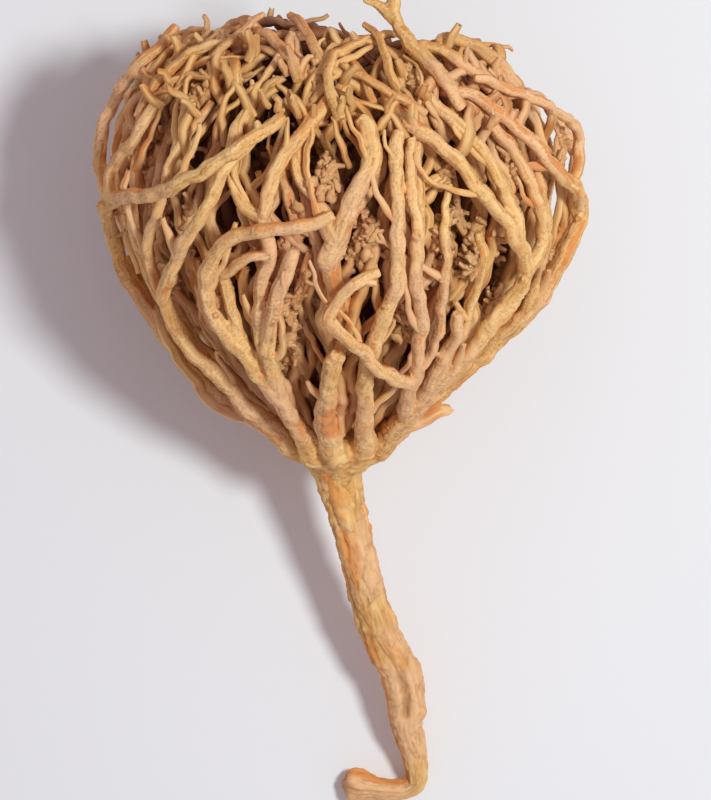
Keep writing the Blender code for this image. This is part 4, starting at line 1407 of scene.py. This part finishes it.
class Workshop:
    def __init__(self) -> None:
        """Builds the node trees, which all pieces share."""
        self.stems, self.relief = stem_tree(), relief_tree()
        self.seed, self.stride = 0.0, 371.3

    def guide(self, name: str, strands: list[Strand], lumps: Sequence[Lump]) -> Body:
        """Makes the mesh of stem lines and loose points that the stems are grown on."""
        upright = np.vstack([s.points for s in strands] + [lump.place[None] for lump in lumps])
        edges, fields = [], {key: [] for key in ("thickness", "travel", "tip", "lump", "aim")}
        first = 0
        self.seed += self.stride
        for strand in strands:
            size = len(strand.points)
            edges += [(first + k, first + k + 1) for k in range(size - 1)]
            first += size
            fields["thickness"].append(strand.radii * MM)
            fields["travel"].append(strand.along + strand.base + self.seed)
            fields["tip"].append(np.append(np.zeros(size - 1), strand.tip))
            fields["lump"].append(np.zeros(size))
            fields["aim"].append(np.zeros((size, 3)))
        for lump in lumps:
            for key, value in (("thickness", 0.0), ("travel", 0.0), ("tip", 0.0), ("lump", lump.size * MM)):
                fields[key].append(np.array([value]))
            fields["aim"].append(LIE.turned(lump.aim)[None])
        mesh = bpy.data.meshes.new(name)
        mesh.from_pydata(LIE.on_floor(upright).tolist(), edges, [])
        # depth below the ball's skin, which the bark reads for its painted shade
        fields["depth"] = [depth_below_skin(upright)]
        for key, values in fields.items():
            write_field(mesh, key, np.concatenate(values))
        return linked(name + "_lines", mesh)

    @staticmethod
    def grown_mesh(body: Body, tree: Tree, values: dict[str, object]) -> Mesh:
        """Runs a node tree on an object, with its other modifiers after it, and gives the plain mesh.

        Args:
            body: the object, which is removed.
            tree: the node tree.
            values: the tree's inputs by name.

        Returns:
            The mesh.
        """
        modifier = body.modifiers.new(tree.name, "NODES")
        modifier.node_group = tree
        body.modifiers.move(len(body.modifiers) - 1, 0)
        for item in tree.interface.items_tree:
            if item.in_out == "INPUT" and item.name in values:
                modifier[item.identifier] = values[item.name]
        return hardened(body)

    def skinned(
        self, name: str, strands: list[Strand], skin: Skin, bark: Material, lumps: Sequence[Lump] = ()
    ) -> Body:
        """Grows the wood and bark of some stems and gives them as one plain mesh object.

        Args:
            name: the piece's name.
            strands: its stems.
            skin: how the bark is built.
            bark: its material.
            lumps: beads or pods that belong to it.

        Returns:
            The piece, in place.
        """
        strands = [strand.lifted() for strand in strands]
        guide = self.guide(name, strands, lumps)
        if skin.melt:
            melted(guide, skin.melt)
        mesh = self.grown_mesh(guide, self.stems, {"Sides": skin.sides, "Beads": skin.beads, "Bark": bark})
        if skin.melt:
            follow_stems(mesh, strands, self.seed)
        values = {"Ridges": skin.ridges, "Furrows": skin.furrows, "Bark": bark}
        mesh = self.grown_mesh(linked(name, mesh), self.relief, values)
        mesh.name = name
        for unused in ("heading", "lump", "tip", "aim"):
            if unused in mesh.attributes:
                mesh.attributes.remove(mesh.attributes[unused])
        return linked(name, mesh)

    def declare(self, piece: Body, slot: str, node: str | None = None) -> None:
        """Hangs a piece on the root body and hides the solid that it stands for, if one is given."""
        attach(piece, "root")
        if node:
            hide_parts(node)
        LOG.info("%s: %d faces", piece.name, len(piece.data.polygons))


def loft(points: Array, radius: Callable[[Array, Array], Array], sides: int) -> Solid:
    """Wraps closed rings round a line, with its angle 0 towards the viewer and +90 degrees to the right.

    Args:
        points: the line, in the upright plant.
        radius: gives the radius for arrays of distance along the line and of angle.
        sides: how many points a ring has.

    Returns:
        The points and the faces, ends closed.
    """
    along = run_along(points)
    tangent = unit(np.gradient(points, axis=0))
    front = np.array([0.0, -1.0, 0.0])
    turns = np.linspace(0, 2 * np.pi, sides, endpoint=False)
    rings = []
    for k, point in enumerate(points):
        front = unit(front - tangent[k] * (front @ tangent[k]))
        right = np.cross(tangent[k], front)
        reach = radius(np.full(sides, along[k]), turns)
        ring = np.cos(turns)[:, None] * front + np.sin(turns)[:, None] * right
        rings.append(point + reach[:, None] * ring)
    faces = []
    for k in range(len(points) - 1):
        for j in range(sides):
            a, b = k * sides + j, k * sides + (j + 1) % sides
            faces.append([a, a + sides, b + sides, b])
    faces.append(list(range(sides)))
    last = (len(points) - 1) * sides
    faces.append([last + j for j in reversed(range(sides))])
    return np.vstack(rings), faces


def tube(points: Array, radii: Array, sides: int) -> Solid:
    """Wraps a closed round tube of these radii round a line."""
    run = run_along(points)
    return loft(points, lambda travel, turn: np.interp(travel, run, radii), sides)


def stoutness(kind: Kind, count: int) -> Array:
    """Gives how much thicker a stem of this kind is at each of its first points, as it leaves the crown."""
    run = np.arange(count) * GROWTH_STEP
    return 1 + (0.38 if kind is Kind.LIMB else 0.1) * np.exp(-((run / 11.0) ** 2))


@dataclass(frozen=True)
class RootForm:
    """The tap root: its line as (right, height, radius) in mm, its furrows, flakes, cleft and ledge.

    Each swelling is (size, fineness round the root, fineness along it, shift).
    """

    route: tuple[tuple[float, float, float], ...] = (
        (0.6, -3.4, 3.35), (1.3, -6.6, 3.05), (2.5, -11.6, 2.86), (4.4, -19.9, 2.84), (5.9, -25.0, 2.78),
        (7.3, -28.8, 2.85), (9.4, -32.6, 3.0), (10.6, -36.4, 3.0), (10.9, -40.4, 2.85), (10.9, -43.2, 2.65),
        (11.6, -45.6, 2.3), (12.2, -48.4, 2.0), (12.5, -51.0, 1.75), (12.3, -53.2, 1.62), (11.0, -54.4, 1.55),
        (8.6, -54.7, 1.5), (5.8, -54.4, 1.7), (3.8, -54.0, 2.3), (2.2, -53.7, 2.45), (0.7, -53.6, 1.9),
    )
    drop: float = 3.3
    length: float = 54.0
    overlap: float = 3.0
    neck: float = 3.3
    step: float = 0.3
    sides: int = 96
    furrows: int = 7
    seed: int = 5
    cleft: Spread = (34.0, 42.5)
    ledge: float = 43.4
    bark: float = 0.12
    swellings: tuple[tuple[float, float, float, float], ...] = (
        (0.12, 0.9, 0.33, 0.0), (0.09, 2.6, 0.8, 5.0), (0.05, 7.0, 0.5, 2.0), (0.045, 6.0, 2.4, 9.0),
    )

    def line(self) -> tuple[Array, Array]:
        """Gives the root's centre line in the upright plant and its radii, from the crown to the tip."""
        places = [(x, self.drop * (z / self.length) ** 2, z) for x, z, _ in self.route]
        first = (places[0][0] - 0.2, places[0][1], places[0][2] + self.overlap)
        radii = [self.neck] + [radius for _, _, radius in self.route]
        return resampled(np.array([first, *places]), np.array(radii), self.step)

    @staticmethod
    def rough(travel: Array, turn: Array, around: float, lengthwise: float, shift: float) -> Array:
        """Draws noise on the root's surface, finer round it or along it."""
        rows = zip(np.cos(turn) * around, np.sin(turn) * around, travel * lengthwise + shift)
        return np.array([noise.noise(Vector(row)) for row in rows])

    def flaking(self, travel: Array, turn: Array) -> tuple[Array, Array]:
        """Gives how far bark still stands on the wood, 0 or 1, and how near its broken edge is."""
        sheet = self.rough(travel, turn, 1.5, 0.24, 3.0) + 0.35 * self.rough(travel, turn, 4.2, 0.9, 8.0)
        return np.clip((sheet + 0.03) / 0.05, 0, 1), bell(sheet, 0.045)

    def relief(self, travel: Array, turn: Array) -> Array:
        """Gives how far the wood stands out or in, as a share of the radius.

        Args:
            travel: distances along the root, in mm.
            turn: angles round it.

        Returns:
            Its swellings, furrows, chips, cleft and ledge together.
        """
        chance = np.random.default_rng(self.seed)
        even = np.linspace(0, 2 * np.pi, self.furrows, endpoint=False)
        starts = even + chance.uniform(-0.4, 0.4, self.furrows)
        phases = chance.uniform(0, 6.28, (self.furrows, 3))
        form = 0.05 * np.sin(2 * turn + travel / 6.0) + 0.03 * np.sin(3 * turn - travel / 8.5 + 1.0)
        for size, around, lengthwise, shift in self.swellings:
            form = form + size * self.rough(travel, turn, around, lengthwise, shift)
        for start, phase in zip(starts, phases):
            middle = start + 0.35 * np.sin(travel / 11 + phase[0]) + 0.14 * np.sin(travel / 2.9 + phase[1])
            deep = 0.05 + 0.07 * np.sin(travel / 4.5 + phase[2])
            form = form - np.maximum(deep, 0) * bell(within_turn(turn - middle), 0.09)
        chips = np.clip(np.sin(travel / 0.85 + 2 * np.sin(travel / 3.1)), 0, 1) * (travel > 9) * (travel < 27)
        form = form - 0.09 * chips * bell(within_turn(turn + 0.12 * np.sin(travel / 2.3)), 0.16)
        low, high = self.cleft
        inside = np.clip((travel - low) / 3, 0, 1) * np.clip((high - travel) / 0.5, 0, 1)
        off = within_turn(turn + 0.1 - 0.018 * (travel - low))
        form = form - 0.36 * inside * bell(off, 0.26) + 0.05 * inside
        left_side = np.clip(-np.sin(turn), 0, 1)
        return form + 0.10 * left_side * bell(travel - self.ledge + 1.2, 1.5) * (travel < self.ledge)

    def mesh(self) -> Mesh:
        """Makes the root's surface with its furrows, flaking bark, chips, cleft and worn end, and a groove
        mark of flake edges and painted shade in sunken places.
        """
        points, radii = self.line()
        along = run_along(points)

        def radius(travel: Array, turn: Array) -> Array:
            """Gives the root's radius at a distance along it and an angle round it."""
            base = np.interp(travel, along, radii)
            stands, _ = self.flaking(travel, turn)
            worn = 1 - 0.75 * bell(along[-1] - travel, 0.6)
            return (base * (1 + self.relief(travel, turn)) + self.bark * stands) * worn

        rings, faces = loft(points, radius, self.sides)
        mesh = bpy.data.meshes.new("tap_root_wood")
        mesh.from_pydata(LIE.on_floor(rings).tolist(), [], faces)
        turns = np.tile(np.linspace(0, 2 * np.pi, self.sides, endpoint=False), len(points))
        travel = np.repeat(along, self.sides)
        _, edge = self.flaking(travel, turns)
        # Painted shade: the further the wood is sunk below its plain radius, the darker the groove mark makes
        # it; flake edges darken too
        sunk_shade = np.clip(-(radius(travel, turns) / np.interp(travel, along, radii) - 1) / 0.2, 0, 1)
        write_field(mesh, "grain", np.stack([np.cos(turns), np.sin(turns), np.zeros(len(turns))], 1))
        write_field(mesh, "travel", travel)
        write_field(mesh, "groove", np.clip(sunk_shade + 0.8 * edge, 0, 1))
        return smoothed(mesh)


def smoothed(mesh: Mesh) -> Mesh:
    """Turns a mesh's faces outwards and shades it smooth."""
    form = bmesh.new()
    form.from_mesh(mesh)
    bmesh.ops.recalc_face_normals(form, faces=form.faces)
    form.to_mesh(mesh)
    form.free()
    mesh.shade_smooth()
    return mesh


@dataclass(frozen=True)
class Crown:
    """The knuckle where root and limbs meet, in mm.

    The profile of its solid is given as (radius, height), its own skirt as (height, radius), and each knob
    as (place, radius).
    """

    height: float = 2.0
    radius: float = 5.4
    seat_gap: float = 0.4
    limb_lift: float = 12.0
    inner_lift: float = 55.0
    profile: tuple[tuple[float, float], ...] = (
        (0, 7.0), (2.6, 6.7), (4.7, 4.9), (5.4, 2.4), (5.0, 0.2), (4.0, -1.6), (3.3, -3.2), (0, -3.2),
    )
    skirt: tuple[tuple[float, float], ...] = (
        (-4.4, 3.1), (-2.6, 3.4), (-1.2, 3.9), (0.2, 5.0), (1.6, 6.6), (3.0, 7.7), (4.6, 8.3), (6.2, 7.9),
        (7.6, 5.6),
    )
    skirt_rings: int = 34
    skirt_sides: int = 88
    limb_count: int = 11
    collar: dict[Kind, int] = field(default_factory=lambda: {Kind.LIMB: 8, Kind.INNER: 5})
    collar_end: tuple[float, ...] = (1.0, 0.98, 0.95, 0.9, 0.82, 0.7)
    root_rings: int = 22
    melt: float = 0.26
    softening: int = 14
    knobs: tuple[tuple[Place, float], ...] = (
        ((0.9, -4.2, 5.6), 1.9), ((-4.4, -3.2, 3.8), 1.6), ((4.9, -3.4, 3.6), 1.7), ((-1.6, -4.8, 2.2), 1.5),
        ((2.6, -4.9, 1.2), 1.4), ((-2.6, -3.4, 6.6), 1.4), ((6.4, -2.2, 5.2), 1.3), ((-6.2, -1.6, 5.0), 1.2),
    )

    def knuckle(self) -> Solid:
        """Makes the skirt that the limbs stand in, fluted between them."""
        low, high = self.skirt[0][0], self.skirt[-1][0]
        zeros = np.zeros(self.skirt_rings)
        axis = np.stack([zeros, zeros, np.linspace(low, high, self.skirt_rings)], 1)

        def radius(travel: Array, turn: Array) -> Array:
            """Gives the skirt's radius by height and angle."""
            flute = np.clip((travel + low + 2.5) / 4, 0, 1) * 0.07 * np.cos(self.limb_count * turn)
            return np.interp(travel + low, *zip(*self.skirt)) * (1 + flute + 0.04 * np.sin(2 * turn + 0.6))

        return loft(axis, radius, self.skirt_sides)

    def limb_foot(self, branch: Branch) -> Solid:
        """Makes a limb's first stretch, which widens into the knuckle and ends inside the limb's own wood."""
        count, shoot = self.collar[branch.kind], branch.shoots[0]
        radii = shoot.radii[:count] * stoutness(branch.kind, count)
        middle = np.array([0, 0, self.height + 0.5])
        line = np.vstack([middle, shoot.points[:count]])
        points, radii = resampled(line, np.append(radii[0] * 1.3, radii * 1.04), 0.5)
        radii[-len(self.collar_end) :] *= self.collar_end
        return tube(points, radii, 20)

    def knob(self, place: Place, size: float) -> Solid:
        """Makes a rounded knob that stands out of the knuckle."""
        line = np.linspace(np.array([0, 0, self.height]), np.array(place), 12)
        end = np.linalg.norm(line[-1] - line[0])

        def radius(travel: Array, turn: Array) -> Array:
            """Gives the knob's radius, round at its end."""
            return size * np.sqrt(np.clip(1.06 - (np.maximum(travel - end + size, 0) / size) ** 2, 0.06, 1))

        return loft(line, radius, 16)

    def mesh(self, branches: list[Branch]) -> Mesh:
        """Makes the crown: one skin over the knuckle, the feet of its limbs and the top of the root.

        Args:
            branches: all branches; those with a seat grow out of the crown.

        Returns:
            The mesh, in place.
        """
        root, radii = (values[: self.root_rings] for values in RootForm().line())
        solids = [self.knuckle()]
        solids += [self.limb_foot(branch) for branch in branches if branch.seat is not None]
        solids += [self.knob(*knob) for knob in self.knobs]
        solids.append(tube(root, radii * 1.02, 36))
        form = bmesh.new()
        for places, faces in solids:
            corners = [form.verts.new(place) for place in LIE.on_floor(places)]
            for face in faces:
                form.faces.new([corners[k] for k in face])
        bmesh.ops.recalc_face_normals(form, faces=form.faces)
        mesh = bpy.data.meshes.new("crown_wood")
        form.to_mesh(mesh)
        form.free()
        body = linked("crown_body", mesh)
        melted(body, self.melt, self.softening)
        mesh = hardened(body)
        mesh.name = "crown_wood"
        self.furrow(mesh)
        return smoothed(mesh)

    def furrow(self, mesh: Mesh) -> None:
        """Draws the crown's bark: furrows that fan out from its middle along limbs and root."""
        places = places_of(mesh)
        normals = np.empty(len(mesh.vertices) * 3, np.float32)
        mesh.vertices.foreach_get("normal", normals)
        normals = normals.reshape(-1, 3).astype(float)
        reach = (places - LIE.on_floor(np.array([0, 0, self.height]))) / MM
        way, distance = unit(reach), np.linalg.norm(reach, axis=1)
        furrow = np.array([noise.noise(Vector(w * 5.0 + (0, 0, d * 0.12))) for w, d in zip(way, distance)])
        fine = np.array([noise.noise(Vector(r * 0.9)) for r in reach])
        groove = np.clip(1 - np.abs(furrow) / 0.12, 0, 1)
        places += normals * ((-0.16 * groove + 0.24 * fine + 0.16 * furrow) * MM)[:, None]
        mesh.vertices.foreach_set("co", places.astype(np.float32).ravel())
        for name, values in {"grain": way * 2.2, "travel": distance, "groove": groove}.items():
            write_field(mesh, name, values)


CROWN = Crown()


@dataclass(frozen=True)
class Bark:
    """The looks of one kind of dry wood, colours in linear light."""

    name: str
    dark: Colour
    mid: Colour
    light: Colour
    peel: Colour
    blush: Colour = (0.86, 0.50, 0.29)
    peeling: float = 0.8
    # heart, shade and shade_depths make painted shade: a dark colour mixed in more the deeper a stem lies
    # inside the ball
    heart: Colour = (0.19, 0.045, 0.014)
    shade: float = 0.82
    shade_depths: Spread = (4.0, 13.0)
    groove_darkness: float = 0.45
    speck_darkness: float = 0.25
    worn_side: tuple[float, float, float] = (-0.1, 0.94, 0.32)
    roughness: float = 0.78
    gloss: float = 0.3
    bump: float = 0.45
    bump_height: float = 0.0002

    def material(self) -> Material:
        """Builds the material: streaks along the grain, orange peel, dark furrows, and painted shade: the
        deeper a stem lies inside the ball, the more its colour goes to the dark heart colour.
        """
        material = bpy.data.materials.new(self.name)
        material.use_nodes = True
        tree = material.node_tree
        shader = tree.nodes["Principled BSDF"]
        net = Net(tree)
        grain = net.add("ShaderNodeAttribute", attribute_name="grain").outputs["Vector"]
        travel, groove, depth = (
            net.add("ShaderNodeAttribute", attribute_name=name).outputs["Fac"]
            for name in ("travel", "groove", "depth")
        )
        place = net.add("ShaderNodeTexCoord").outputs["Object"]
        deep = tuple(part * 0.6 for part in self.dark)

        wide = net.grainy(grain, travel, 1.5, 3.0, 0.1, 0.55)
        thin = net.grainy(grain, travel, 6.5, 3.0, 0.3, 0.6)
        streak = net.math("ADD", net.times(wide, 0.65), net.times(thin, 0.35))
        ramp = net.add("ShaderNodeValToRGB", {"Fac": streak})
        stops = ((0.34, self.dark), (0.46, self.mid), (0.60, self.light))
        ramp.color_ramp.elements.new(0.5)
        for element, (stop, colour) in zip(ramp.color_ramp.elements, stops):
            element.position, element.color = stop, (*colour, 1)
        blush = net.ranged(net.noise(place, 55.0, 2.0, 0.5), 0.42, 0.62)
        colour = self.mixed(net, net.times(blush, 0.6), ramp.outputs["Color"], self.blush)
        patch = net.noise(place, 95.0, 3.0, 0.6)
        side = net.grainy(grain, travel, 0.9, 2.0, 0.05)
        peel = net.times(net.ranged(patch, 0.47, 0.6), net.ranged(side, 0.5, 0.6))
        side_up = {0: net.vector("NORMALIZE", grain), 1: self.worn_side}
        upper = net.add("ShaderNodeVectorMath", side_up, operation="DOT_PRODUCT").outputs["Value"]
        scraped = net.times(net.ranged(upper, 0.62, 0.86), net.ranged(net.noise(place, 60.0), 0.42, 0.52))
        peel = net.math("MAXIMUM", peel, scraped)
        colour = self.mixed(net, net.times(peel, self.peeling), colour, self.peel)
        # Dark furrows and flake edges; on the root the groove mark also holds painted shade in its sunken
        # places
        colour = self.mixed(net, net.times(groove, self.groove_darkness), colour, deep)
        speck = net.ranged(net.noise(place, 1500.0, 2.0, 0.7), 0.68, 0.78)
        colour = self.mixed(net, net.times(speck, self.speck_darkness), colour, deep)
        # Painted shade: below the ball's skin the colour goes towards the dark heart colour, more the deeper
        # it lies
        inner = net.ranged(depth, *self.shade_depths, 0.0, self.shade)
        colour = self.mixed(net, inner, colour, self.heart)
        tree.links.new(colour, shader.inputs["Base Color"])
        shader.inputs["Roughness"].default_value = self.roughness
        shader.inputs["Specular IOR Level"].default_value = self.gloss
        pores = net.times(net.noise(place, 5200.0, 3.0), 0.3)
        relief = net.math("ADD", net.times(thin, 0.7), pores)
        wires = {"Height": relief, "Strength": self.bump, "Distance": self.bump_height}
        tree.links.new(net.out("ShaderNodeBump", wires), shader.inputs["Normal"])
        return material

    @staticmethod
    def mixed(net: Net, factor: Wire, first: Wire, second: Colour) -> Socket:
        """Mixes a colour into another and gives the result's socket."""
        node = net.add("ShaderNodeMix", {0: factor, 6: first, 7: (*second, 1)}, data_type="RGBA")
        return node.outputs[2]


BARKS = {
    Kind.LIMB: Bark(
        "limb_bark", (0.52, 0.24, 0.06), (0.82, 0.46, 0.165), (0.93, 0.62, 0.285), (0.74, 0.25, 0.055)
    ),
    Kind.INNER: Bark(
        "inner_wood", (0.45, 0.185, 0.046), (0.75, 0.385, 0.128), (0.88, 0.545, 0.228), (0.68, 0.23, 0.052)
    ),
    Kind.TWIG: Bark(
        "twig_bark", (0.45, 0.195, 0.046), (0.70, 0.37, 0.12), (0.86, 0.545, 0.225), (0.69, 0.255, 0.06)
    ),
    Kind.POD: Bark(
        "pod_shell", (0.34, 0.14, 0.05), (0.64, 0.34, 0.13), (0.82, 0.52, 0.25), (0.62, 0.26, 0.08),
        blush=(0.72, 0.38, 0.18), peeling=0.3, shade=0.6,
    ),
}
ROOT_BARK = Bark(
    "root_bark", (0.44, 0.19, 0.045), (0.74, 0.40, 0.125), (0.88, 0.57, 0.24), (0.78, 0.29, 0.065),
    peeling=0.85,
)


@dataclass(frozen=True)
class Studio:
    """The pale floor, the soft lamp from the right, the even sky and the camera overhead, in metres."""

    floor_size: float = 1.6
    floor_colour: Colour = (0.85, 0.85, 0.86)
    floor_roughness: float = 0.95
    floor_gloss: float = 0.1
    sky: Colour = (0.98, 0.86, 0.94)
    sky_strength: float = 0.43
    lamp_colour: Colour = (0.905, 0.985, 0.985)
    lamp_power: float = 2.35
    lamp_size: float = 0.1
    lamp_distance: float = 0.6
    lamp_height: float = 66.0
    lamp_turn: float = 7.0
    lamp_aim: float = 0.03
    camera_height: float = 0.6
    view_width: float = 0.1102
    view_shift: Spread = (0.00287, 0.01023)
    sensor: float = 36.0
    clip: Spread = (0.01, 5.0)

    def build(self) -> None:
        """Makes the floor, the lights and the camera."""
        crown = Vector(LIE.crown_place())
        self.lay_floor()
        self.light(crown)
        self.look(crown)

    def lay_floor(self) -> None:
        """Lays the floor in its matt paper."""
        half = self.floor_size / 2
        mesh = bpy.data.meshes.new("floor")
        corners = [(-half, -half, 0), (half, -half, 0), (half, half, 0), (-half, half, 0)]
        mesh.from_pydata(corners, [], [(0, 1, 2, 3)])
        paper = bpy.data.materials.new("pale_paper")
        paper.use_nodes = True
        shader = paper.node_tree.nodes["Principled BSDF"]
        shader.inputs["Base Color"].default_value = (*self.floor_colour, 1)
        shader.inputs["Roughness"].default_value = self.floor_roughness
        shader.inputs["Specular IOR Level"].default_value = self.floor_gloss
        mesh.materials.append(paper)
        linked("floor", mesh)

    def light(self, crown: Vector) -> None:
        """Sets the even sky, and the lamp over a place a little above the crown."""
        sky = bpy.data.worlds.new("sky")
        sky.use_nodes = True
        background = sky.node_tree.nodes["Background"]
        background.inputs["Color"].default_value = (*self.sky, 1)
        background.inputs["Strength"].default_value = self.sky_strength
        bpy.context.scene.world = sky

        rise, turn = math.radians(self.lamp_height), math.radians(self.lamp_turn)
        way = Vector((math.cos(rise) * math.cos(turn), math.cos(rise) * math.sin(turn), math.sin(rise)))
        lamp = bpy.data.lights.new("key", "AREA")
        lamp.shape = "DISK"
        lamp.size, lamp.energy, lamp.color = self.lamp_size, self.lamp_power, self.lamp_colour
        key = bpy.data.objects.new("key", lamp)
        key.location = Vector((crown.x, crown.y + self.lamp_aim, 0)) + way * self.lamp_distance
        key.rotation_euler = way.to_track_quat("Z", "Y").to_euler()
        bpy.context.scene.collection.objects.link(key)

    def look(self, crown: Vector) -> None:
        """Hangs the camera over the plant, looking straight down."""
        lens = bpy.data.cameras.new("overhead")
        lens.sensor_fit = "HORIZONTAL"
        lens.sensor_width = self.sensor
        lens.lens = self.sensor * self.camera_height / self.view_width
        lens.clip_start, lens.clip_end = self.clip
        camera = bpy.data.objects.new("overhead", lens)
        camera.location = crown + Vector((*self.view_shift, self.camera_height))
        bpy.context.scene.collection.objects.link(camera)
        bpy.context.scene.camera = camera
        bpy.context.scene.view_settings.view_transform = "Standard"


def shoot_strands(branch: Branch, weather: Weathering, step: float) -> list[Strand]:
    """Weathers all shoots of a branch: each fork flares, and a seated foot starts stout inside the crown.

    Args:
        branch: the settled branch.
        weather: gives the kinks and knots.
        step: the spacing of the new points, in mm.

    Returns:
        Its stems; a fork's distance along the grain goes on from its parent's.
    """
    strands, bases = [], []
    for shoot in branch.shoots:
        points, radii = shoot.points, shoot.radii
        foot, base = 0.0, 0.0
        if shoot.parent is not None:
            foot = float(branch.shoots[shoot.parent].radii[shoot.start])
            base = bases[shoot.parent] + shoot.start * GROWTH_STEP
        elif branch.seat is not None:
            radii = (radii * stoutness(branch.kind, len(radii)))[2:]
            points = points[2:]
        bases.append(base)
        strand = weather.worn(Strand(points, radii, foot=foot), step)
        strand.base = base
        strands.append(strand)
    return strands


SKINS = {
    Kind.LIMB: Skin(melt=0.24, sides=16),
    Kind.INNER: Skin(melt=0.34, sides=12),
    Kind.TWIG: Skin(melt=0.24, sides=14),
    Kind.POD: Skin(sides=8, beads=3),
}
BACK_SKIN = Skin(melt=0.3, sides=12)
SMALL_SKIN = Skin(sides=10, step=0.9)
HUSK_SKIN = Skin(sides=6)


@dataclass
class Plant:
    """The whole plant, made piece by piece; spacings and radii in mm."""

    shop: Workshop
    branches: list[Branch]
    small_kink: float = 0.25
    twig_spacing: float = 24.0
    twig_radius: Spread = (0.42, 0.68)
    inner_spacing: float = 14.0
    inner_radius: Spread = (0.35, 0.55)
    stub_spacing: float = 46.0
    stem_forks: float = 0.8
    tangle_forks: float = 0.35

    def __post_init__(self) -> None:
        """Makes the materials and starts the draws."""
        self.weather, self.under = Weathering(), Undergrowth(self.branches)
        self.barks = {kind: bark.material() for kind, bark in BARKS.items()}

    def build(self) -> None:
        self.root_and_crown()
        inner = self.main_branches()
        self.small_wood(inner)

    def root_and_crown(self) -> None:
        """Makes the tap root and the crown, which share their bark."""
        bark = ROOT_BARK.material()
        for name, mesh in (("tap_root", RootForm().mesh()), ("crown", CROWN.mesh(self.branches))):
            mesh.materials.clear()
            mesh.materials.append(bark)
            self.shop.declare(linked(name + "_wood", mesh), ROOT_BARK.name, name)

    def main_branches(self) -> list[Strand]:
        """Makes the pieces that stand for solids and gives the stems of the inner limbs."""
        inner = []
        for branch in self.branches:
            skin, lumps = SKINS[branch.kind], []
            if branch.name.startswith("limb_back"):
                skin = BACK_SKIN
            if branch.kind is Kind.POD:
                strands, lumps = self.under.pod(branch.shoots[0].points.mean(0))
            else:
                strands = shoot_strands(branch, self.weather, skin.step)
            if branch.kind is Kind.INNER:
                inner += strands
            piece = self.shop.skinned(branch.name + "_wood", strands, skin, self.barks[branch.kind], lumps)
            self.shop.declare(piece, BARKS[branch.kind].name, branch.name)
        return inner

    def small_wood(self, inner: list[Strand]) -> None:
        """Makes the pieces of small wood, and the husks on these stems of the inner limbs."""
        under, outer, core = self.under, {Kind.LIMB, Kind.TWIG}, {Kind.INNER}
        between = under.between_stems()
        for route, first in (*OUTER_STEMS, (CURVED_TWIG, 0.5)):
            between.append(Strand.tapered([BALL.on_ball(*place) for place in route], first, 0.75))
        between += under.forked(between, self.stem_forks)
        thicket = under.thicket() + under.low_stems()
        tangle = under.top_tangle()
        tangle += under.forked(tangle, self.tangle_forks) + under.broken_ends() + under.mouth_curls()
        groups = {
            "side_twigs": (under.side_twigs(outer, self.twig_spacing, self.twig_radius), Kind.LIMB),
            "inner_side_twigs": (under.side_twigs(core, self.inner_spacing, self.inner_radius), Kind.INNER),
            "between_stems": (between, Kind.LIMB),
            "thicket": (thicket, Kind.INNER),
            "top_tangle": (tangle, Kind.TWIG),
            "bark_stubs": (under.stubs(outer, self.stub_spacing), Kind.LIMB),
        }
        for name, (strands, kind) in groups.items():
            worn = [self.weather.worn(strand, SMALL_SKIN.step, self.small_kink) for strand in strands]
            self.shop.declare(self.shop.skinned(name, worn, SMALL_SKIN, self.barks[kind]), BARKS[kind].name)
        lumps, husks = under.beads(between + inner)
        piece = self.shop.skinned("bead_clusters", husks, HUSK_SKIN, self.barks[Kind.POD], lumps)
        self.shop.declare(piece, BARKS[Kind.POD].name)


def main() -> None:
    """Builds the plant in its studio."""
    logging.basicConfig(level=logging.INFO, format="%(message)s")
    Studio().build()
    Plant(Workshop(), grown()).build()
    bpy.context.view_layer.update()


if __name__ == "__main__":
    main()
